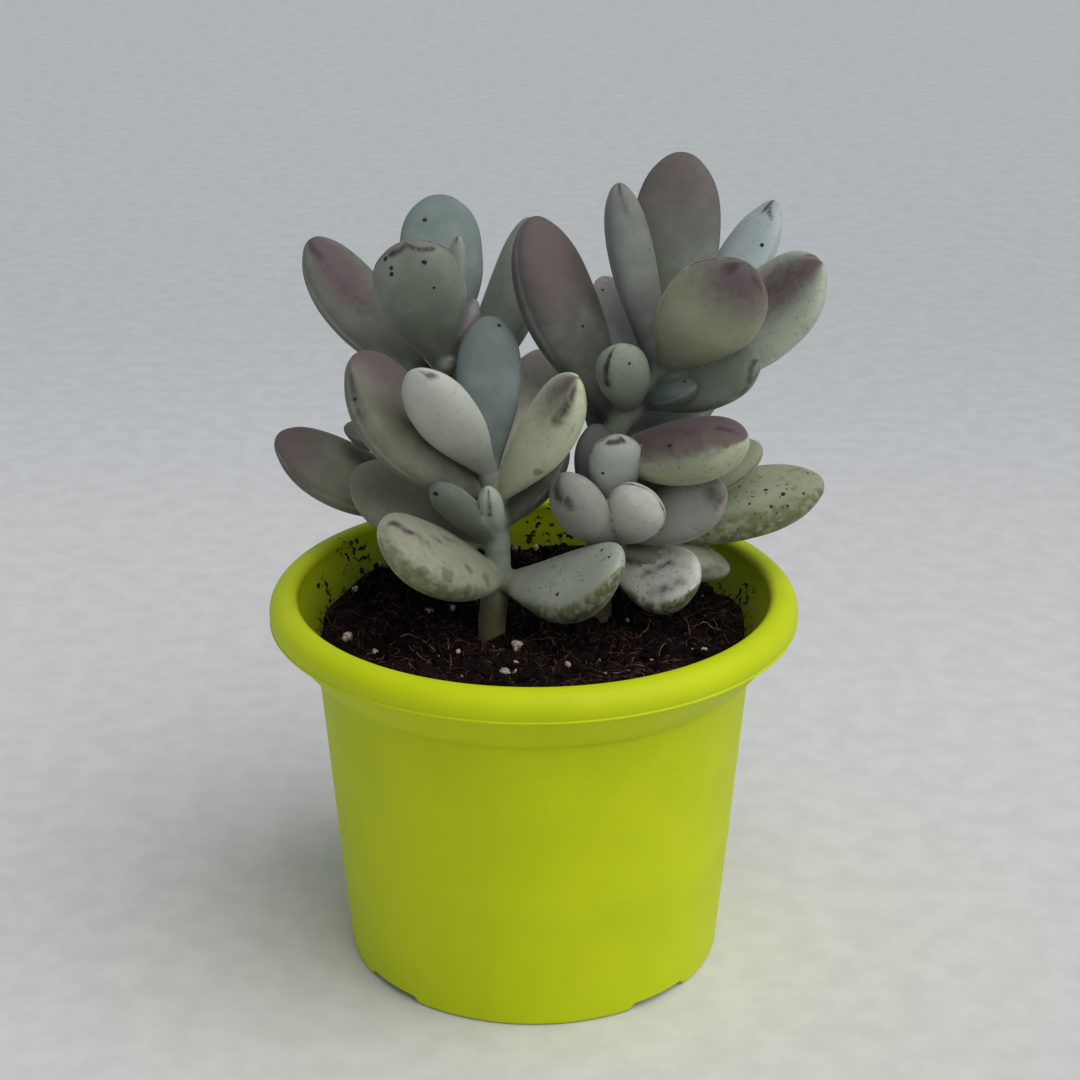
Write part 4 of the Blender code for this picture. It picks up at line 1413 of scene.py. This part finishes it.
@dataclass
class SoilBed:
    """Potting soil with crumbs, coco fibres, thin pale roots and perlite grains."""

    height: float = 84.0
    dish: float = 2.6
    radius: float = 52.1
    rings: int = 104
    sides: int = 440
    waves: tuple[tuple[float, ...], ...] = (
        (0.9, 0.13, 0.21, 0.4), (0.6, -0.29, 0.17, 1.9), (0.4, 0.37, -0.41, 3.1)
    )
    lump_size: float = 5.5
    lump_height: float = 1.5
    clump_size: float = 2.4
    clump_height: float = 0.7
    grit_size: float = 0.9
    grit_height: float = 0.45
    clods: Lumps = Lumps(150, 2.0, 0.9, 1.3, 2, -0.1, 2)
    small_crumbs: Lumps = Lumps(2600, 0.6, 0.35, 0.9, 3, 0.15, 1)
    small_grains: Lumps = Lumps(22, 3.0, 0.2, 0.3, 2, 0.3, 2)
    fibres: Strands = Strands(1300, (2.5, 13.0), (0.05, 0.13), 0.55)
    roots: Strands = Strands(26, (6.0, 16.0), (0.07, 0.12), 0.45)
    long_root: float = 0.14
    grain_rise: float = 0.45
    gap: float = 0.3
    grain_crease: float = 50.0
    crumb_crease: float = 30.0
    perlite: tuple[tuple[float, float, float], ...] = (
        (-4.1, -12.3, 1.3), (-4.3, -14.3, 0.9), (-6.9, -26.3, 1.1), (-5.0, -26.0, 1.0),
        (-4.0, -21.2, 0.7), (-45.5, -9.5, 1.0), (-45.9, -10.9, 0.7), (-38.5, -14.9, 0.7),
        (-45.8, 21.5, 0.8), (-39.9, 30.3, 0.6), (-26.0, 11.0, 0.8), (-27.0, 12.6, 0.6),
        (-20.4, 11.9, 0.7), (-18.3, -16.1, 0.6), (-5.0, 49.0, 0.9), (0.6, 50.2, 0.9),
        (23.4, 6.1, 0.6), (8.1, -26.0, 0.7), (41.0, -17.6, 0.7), (16.0, -16.8, 0.5),
    )
    long_roots: tuple[tuple[Point, ...], ...] = (
        ((35.5, 8.1), (38.2, 3.0), (38.2, -5.9), (37.0, -15.9)),
        ((40.7, 8.0), (43.3, 1.8), (45.8, -4.8)),
        ((38.3, 0.3), (42.6, -1.4), (46.5, -5.7)),
        ((30.1, 5.7), (27.0, -3.2), (24.2, -11.7)),
        ((-33.2, -8.5), (-28.7, -16.2), (-24.9, -21.4)),
        ((-36.2, -13.0), (-32.7, -8.9), (-27.8, -10.1), (-22.7, -16.6)),
        ((-21.9, -3.9), (-20.5, -13.0), (-19.6, -23.6)),
        ((12.0, -24.0), (17.5, -27.0), (24.5, -25.5)),
        ((20.0, -20.0), (26.0, -24.5), (27.5, -31.5)),
    )
    seed: int = 11

    def ground(self, x: float, y: float) -> float:
        """Height of the soil's surface, a shallow dish with low lumps."""
        height = self.height + self.dish * (hypot(x, y) / self.radius) ** 2
        for size, along_x, along_y, phase in self.waves:
            height += size * sin(along_x * x + along_y * y + phase)
        return height

    def surface(self, x: float, y: float) -> float:
        """Height of the soil with its lumps and grit."""
        place = Vector((x, y, 0.0))
        lumps = self.lump_height * noise.fractal(place / self.lump_size, 0.9, 2.1, 4)
        clumps = noise.noise(place / self.clump_size + Vector((7.0, 3.0, 0.0)))
        grit = self.grit_height * noise.noise(place / self.grit_size)
        edge = smooth(self.radius, self.radius - 2.0, hypot(x, y))
        return self.ground(x, y) + (lumps + self.clump_height * abs(clumps) + grit) * edge

    def build(self, pot: PlasticPot, finish: SoilFinish) -> None:
        """Lay the soil and scatter what lies on it.

        Args:
            pot: the pot that it fills.
            finish: its colours.
        """
        rng = Random(self.seed)
        bed_finish = finish.paint_bed()
        place_piece(finish_piece("soil_bed", self.bed(pot), bed_finish), "soil", "soil")
        crumbs = finish_piece("soil_crumbs", self.crumbs(rng), bed_finish, self.crumb_crease)
        place_piece(crumbs, "soil")
        fibres = self.strands(rng, self.fibres)
        fibre_finish = finish.paint_strand("coco_fibre", finish.fibre_dark, finish.fibre)
        place_piece(finish_piece("coco_fibres", fibres.bm, fibre_finish), "soil")
        roots = self.strands(rng, self.roots)
        for path in self.long_roots:
            roots.strand(self.laid(rng, path), self.long_root)
        root_finish = finish.paint_strand("thin_root", finish.fibre, finish.root)
        place_piece(finish_piece("thin_roots", roots.bm, root_finish), "soil")
        white = finish.paint_perlite()
        grains = finish_piece("perlite_grains", self.grains(rng), white, self.grain_crease)
        place_piece(grains, "soil")

    def bed(self, pot: PlasticPot) -> BMesh:
        """The body of the soil, with a gap between it and the pot."""
        floor = pot.recess + pot.wall + self.gap
        side = pot.wall_radius(floor) - pot.wall - self.gap
        outline = [
            (0.0, pot.wall + self.gap),
            (pot.pad_radius - self.gap, pot.wall + self.gap),
            (pot.pad_radius + pot.recess - self.gap, floor),
            (side - pot.floor_chamfer, floor),
            (side, floor + pot.floor_chamfer),
        ]
        for ring in range(self.rings, -1, -1):
            outline.append((self.radius * ring / self.rings, self.height))
        bm = turned(outline, self.sides)
        for vertex in bm.verts:
            if vertex.co.z > self.height - 1.0:
                vertex.co.z = self.surface(vertex.co.x, vertex.co.y)
        return bm

    def spot(self, rng: Random, reach: float) -> Point:
        """A random place on the soil, at most reach from its middle."""
        distance = reach * sqrt(rng.random())
        turn = 2.0 * pi * rng.random()
        return distance * cos(turn), distance * sin(turn)

    def crumbs(self, rng: Random) -> BMesh:
        """Loose clods and crumbs of soil, half sunk in it."""
        litter = Litter()
        self.scatter(litter, rng, self.clods)
        self.scatter(litter, rng, self.small_crumbs)
        return litter.bm

    def scatter(self, litter: "Litter", rng: Random, kind: Lumps) -> None:
        """Scatter grains on the soil.

        Args:
            litter: what they join.
            rng: the random draw.
            kind: how many, how large and where.
        """
        for _ in range(kind.count):
            x, y = self.spot(rng, self.radius - kind.edge)
            size = kind.small + kind.spread * rng.random() ** kind.power
            litter.lump(rng, (x, y, self.surface(x, y) + kind.rise * size), size, kind.fine)

    def grains(self, rng: Random) -> BMesh:
        """Perlite grains at the places where they show, and a few more behind."""
        litter = Litter()
        for x, y, size in self.perlite:
            place = (x, y, self.surface(x, y) + self.grain_rise * size)
            litter.lump(rng, place, size, self.small_grains.fine)
        self.scatter(litter, rng, self.small_grains)
        return litter.bm

    def laid(self, rng: Random, path: Sequence[Point]) -> list[Vector]:
        """Lay a known root on the soil.

        Args:
            rng: the random draw, for its small bends.
            path: the points that it passes, as (x, y).

        Returns:
            The points of a strand.
        """
        points = []
        for step in range(Litter.STEPS + 1):
            span = step / Litter.STEPS * (len(path) - 1)
            index = min(int(span), len(path) - 2)
            place = Vector(path[index]).lerp(Vector(path[index + 1]), span - index)
            x = place.x + 0.7 * (rng.random() - 0.5)
            y = place.y + 0.7 * (rng.random() - 0.5)
            points.append(Vector((x, y, self.surface(x, y) + 0.25 + 0.5 * rng.random())))
        return points

    def strands(self, rng: Random, kind: Strands) -> "Litter":
        """Thin strands that lie on the soil and dip into it.

        Args:
            rng: the random draw.
            kind: how many, how long, how thick and how curled.

        Returns:
            Their litter.
        """
        litter = Litter()
        short, long = kind.lengths
        thin, thick = kind.radii
        for _ in range(kind.count):
            x, y = self.spot(rng, self.radius - 1.5)
            length = short + (long - short) * rng.random() ** 1.6
            radius = thin + (thick - thin) * rng.random()
            turn = 2.0 * pi * rng.random()
            bend = kind.curl * (rng.random() - 0.5)
            lift = 0.2 + 1.6 * rng.random() ** 2
            path = []
            for step in range(Litter.STEPS + 1):
                share = step / Litter.STEPS
                reach = min(1.0, (self.radius - 0.8) / max(0.1, hypot(x, y)))
                x, y = x * reach, y * reach
                rise = lift * sin(pi * share) - 0.25
                path.append(Vector((x, y, self.surface(x, y) + rise)))
                turn += bend + kind.curl * 0.5 * (rng.random() - 0.5)
                x += cos(turn) * length / Litter.STEPS
                y += sin(turn) * length / Litter.STEPS
            litter.strand(path, radius)
        return litter


class Litter:
    """Many small solids in one mesh, each drawn from a ball into its own shape."""

    STEPS = 10
    TAPER = 0.4

    def __init__(self) -> None:
        """Start with nothing but the plain balls that the shapes are drawn from."""
        self.bm = bmesh.new()
        self.part = bpy.data.meshes.new("part")
        self.balls = {fine: self.ball(fine) for fine in (1, 2)}
        self.thread = self.thin_ball()

    def ball(self, fine: int) -> Mesh:
        """A ball for grains, divided finely or coarsely."""
        bm = bmesh.new()
        bmesh.ops.create_icosphere(bm, subdivisions=fine, radius=1.0)
        return self.kept(bm)

    def thin_ball(self) -> Mesh:
        """A ball for strands, with four sides and a ring for each step."""
        bm = bmesh.new()
        bmesh.ops.create_uvsphere(bm, u_segments=4, v_segments=self.STEPS + 2, radius=1.0)
        return self.kept(bm)

    def kept(self, bm: BMesh) -> Mesh:
        """Keep a ball as a mesh."""
        mesh = bpy.data.meshes.new("ball")
        bm.to_mesh(mesh)
        bm.free()
        return mesh

    def add(self, ball: Mesh, shape: Callable[[Vector], Vector]) -> None:
        """Add a ball with each of its points moved.

        Args:
            ball: one of the kept balls.
            shape: where a point of it goes.
        """
        bm = bmesh.new()
        bm.from_mesh(ball)
        for vertex in bm.verts:
            vertex.co = shape(vertex.co)
        bm.to_mesh(self.part)
        bm.free()
        self.bm.from_mesh(self.part)

    def lump(self, rng: Random, place: Sequence[float], size: float, fine: int) -> None:
        """Add an irregular grain.

        Args:
            rng: the random draw.
            place: its middle.
            size: its radius.
            fine: how finely its ball is divided.
        """
        squash = Vector([0.7 + 0.6 * rng.random() for _ in range(3)])
        turn = Matrix.Rotation(2.0 * pi * rng.random(), 3, "Z")
        turn = turn @ Matrix.Rotation(pi * rng.random(), 3, "X")
        offset = Vector([50.0 * rng.random() for _ in range(3)])
        centre = Vector(place)

        def shape(point: Vector) -> Vector:
            """Knobbly point of the grain."""
            low, high = noise.noise(point * 1.3 + offset), noise.noise(point * 3.1 + offset)
            return turn @ (point * (1.0 + 0.42 * low + 0.2 * high) * size * squash) + centre

        self.add(self.balls[fine], shape)

    def strand(self, path: Sequence[Vector], radius: float) -> None:
        """Add a thin strand that tapers to both ends.

        Args:
            path: the points that it follows.
            radius: its radius in the middle.
        """
        last = len(path) - 1

        def shape(point: Vector) -> Vector:
            """Point of the strand's skin."""
            span = ball_share(point) * last
            index = min(int(span), last - 1)
            heading = (path[index + 1] - path[index]).normalized()
            middle = path[index].lerp(path[index + 1], span - index)
            side = heading.cross(UP).normalized()
            over = side.cross(heading)
            ring = hypot(point.x, point.y)
            thick = radius * min(1.0, ring / self.TAPER) / max(TINY, ring)
            return middle + (side * point.x + over * point.y) * thick

        self.add(self.thread, shape)


@dataclass
class Studio:
    """A pale floor with painted shade towards the back, soft light from above and the right, and
    the camera.
    """

    floor_size: float = 60.0
    floor_near: Colour = (0.66, 0.655, 0.655)
    floor_far_shaded: Colour = (0.49, 0.51, 0.53)
    floor_depths: Point = (40.0, 620.0)
    sky_colour: Colour = (0.88, 0.94, 1.0)
    sky_strength: float = 0.37
    key_place: tuple[float, float, float] = (0.60, -0.40, 0.95)
    key_spread: float = 70.0
    key_strength: float = 2.15
    key_colour: Colour = (1.0, 0.985, 0.95)
    camera_place: tuple[float, float, float] = (0.0, -0.546, 0.324)
    camera_down: float = 21.55
    camera_right: float = 0.162
    lens: float = 80.0
    sensor: float = 36.0
    nearest: float = 0.01

    def build(self) -> None:
        """Set up the floor, the light and the camera."""
        self.floor()
        self.sky()
        self.key()
        self.camera()
        bpy.context.scene.view_settings.view_transform = "Standard"

    def floor(self) -> None:
        """Lay the pale floor, darker and cooler towards the back as painted shade."""
        paint = Paint("paper", Specular_IOR_Level=0.2)
        mottle = paint.noise(9.0, 4.0)
        # Painted shade: the floor is darker and bluer towards the back, where less light reaches
        # it.
        far = paint.along("Y").rise(*self.floor_depths)
        colour = paint.mix(far, self.floor_near, self.floor_far_shaded)
        paint.feed("Base Color", paint.shade(colour, 0.96 + 0.08 * mottle.rise(0.3, 0.7)))
        paint.feed("Roughness", 0.85 + 0.1 * mottle)
        bm = bmesh.new()
        bmesh.ops.create_grid(bm, x_segments=1, y_segments=1, size=0.5 * self.floor_size / MM)
        finish_piece("floor", bm, paint.material)

    def sky(self) -> None:
        """Light the scene softly from all round."""
        world = bpy.data.worlds.new("soft_sky")
        world.use_nodes = True
        background = world.node_tree.nodes["Background"]
        background.inputs["Color"].default_value = (*self.sky_colour, 1.0)
        background.inputs["Strength"].default_value = self.sky_strength
        bpy.context.scene.world = world

    def key(self) -> None:
        """Light the plant softly from above and the right, with a lamp that looks wide from it."""
        data = bpy.data.lights.new("key", "SUN")
        data.angle = radians(self.key_spread)
        data.energy = self.key_strength
        data.color = self.key_colour
        lamp = bpy.data.objects.new("key", data)
        lamp.location = self.key_place
        lamp.rotation_euler = Vector(self.key_place).to_track_quat("Z", "Y").to_euler()
        bpy.context.scene.collection.objects.link(lamp)

    def camera(self) -> None:
        """Place the camera where the photograph was taken from."""
        data = bpy.data.cameras.new("camera")
        data.lens = self.lens
        data.sensor_width = self.sensor
        data.clip_start = self.nearest
        camera = bpy.data.objects.new("camera", data)
        camera.location = self.camera_place
        tilt = radians(90.0 - self.camera_down)
        camera.rotation_euler = (tilt, 0.0, radians(-self.camera_right))
        bpy.context.scene.collection.objects.link(camera)
        bpy.context.scene.camera = camera


def main() -> None:
    """Build the scene from the floor up, with the same ripple in the leaves on each run."""
    noise.seed_set(NOISE_SEED)
    Studio().build()
    pot = PlasticPot()
    pot.build(PlasticFinish())
    SoilBed().build(pot, SoilFinish())
    skin = LeafFinish()
    Shoot("front_left_shoot", "shoot_front_left", (FRONT_LEFT,)).build(skin)
    Shoot("back_left_shoot", "shoot_back_left", (BACK_LEFT,)).build(skin)
    Shoot("right_shoot", "shoot_right", (BACK_RIGHT, FRONT_RIGHT)).build(skin)


if __name__ == "__main__":
    main()
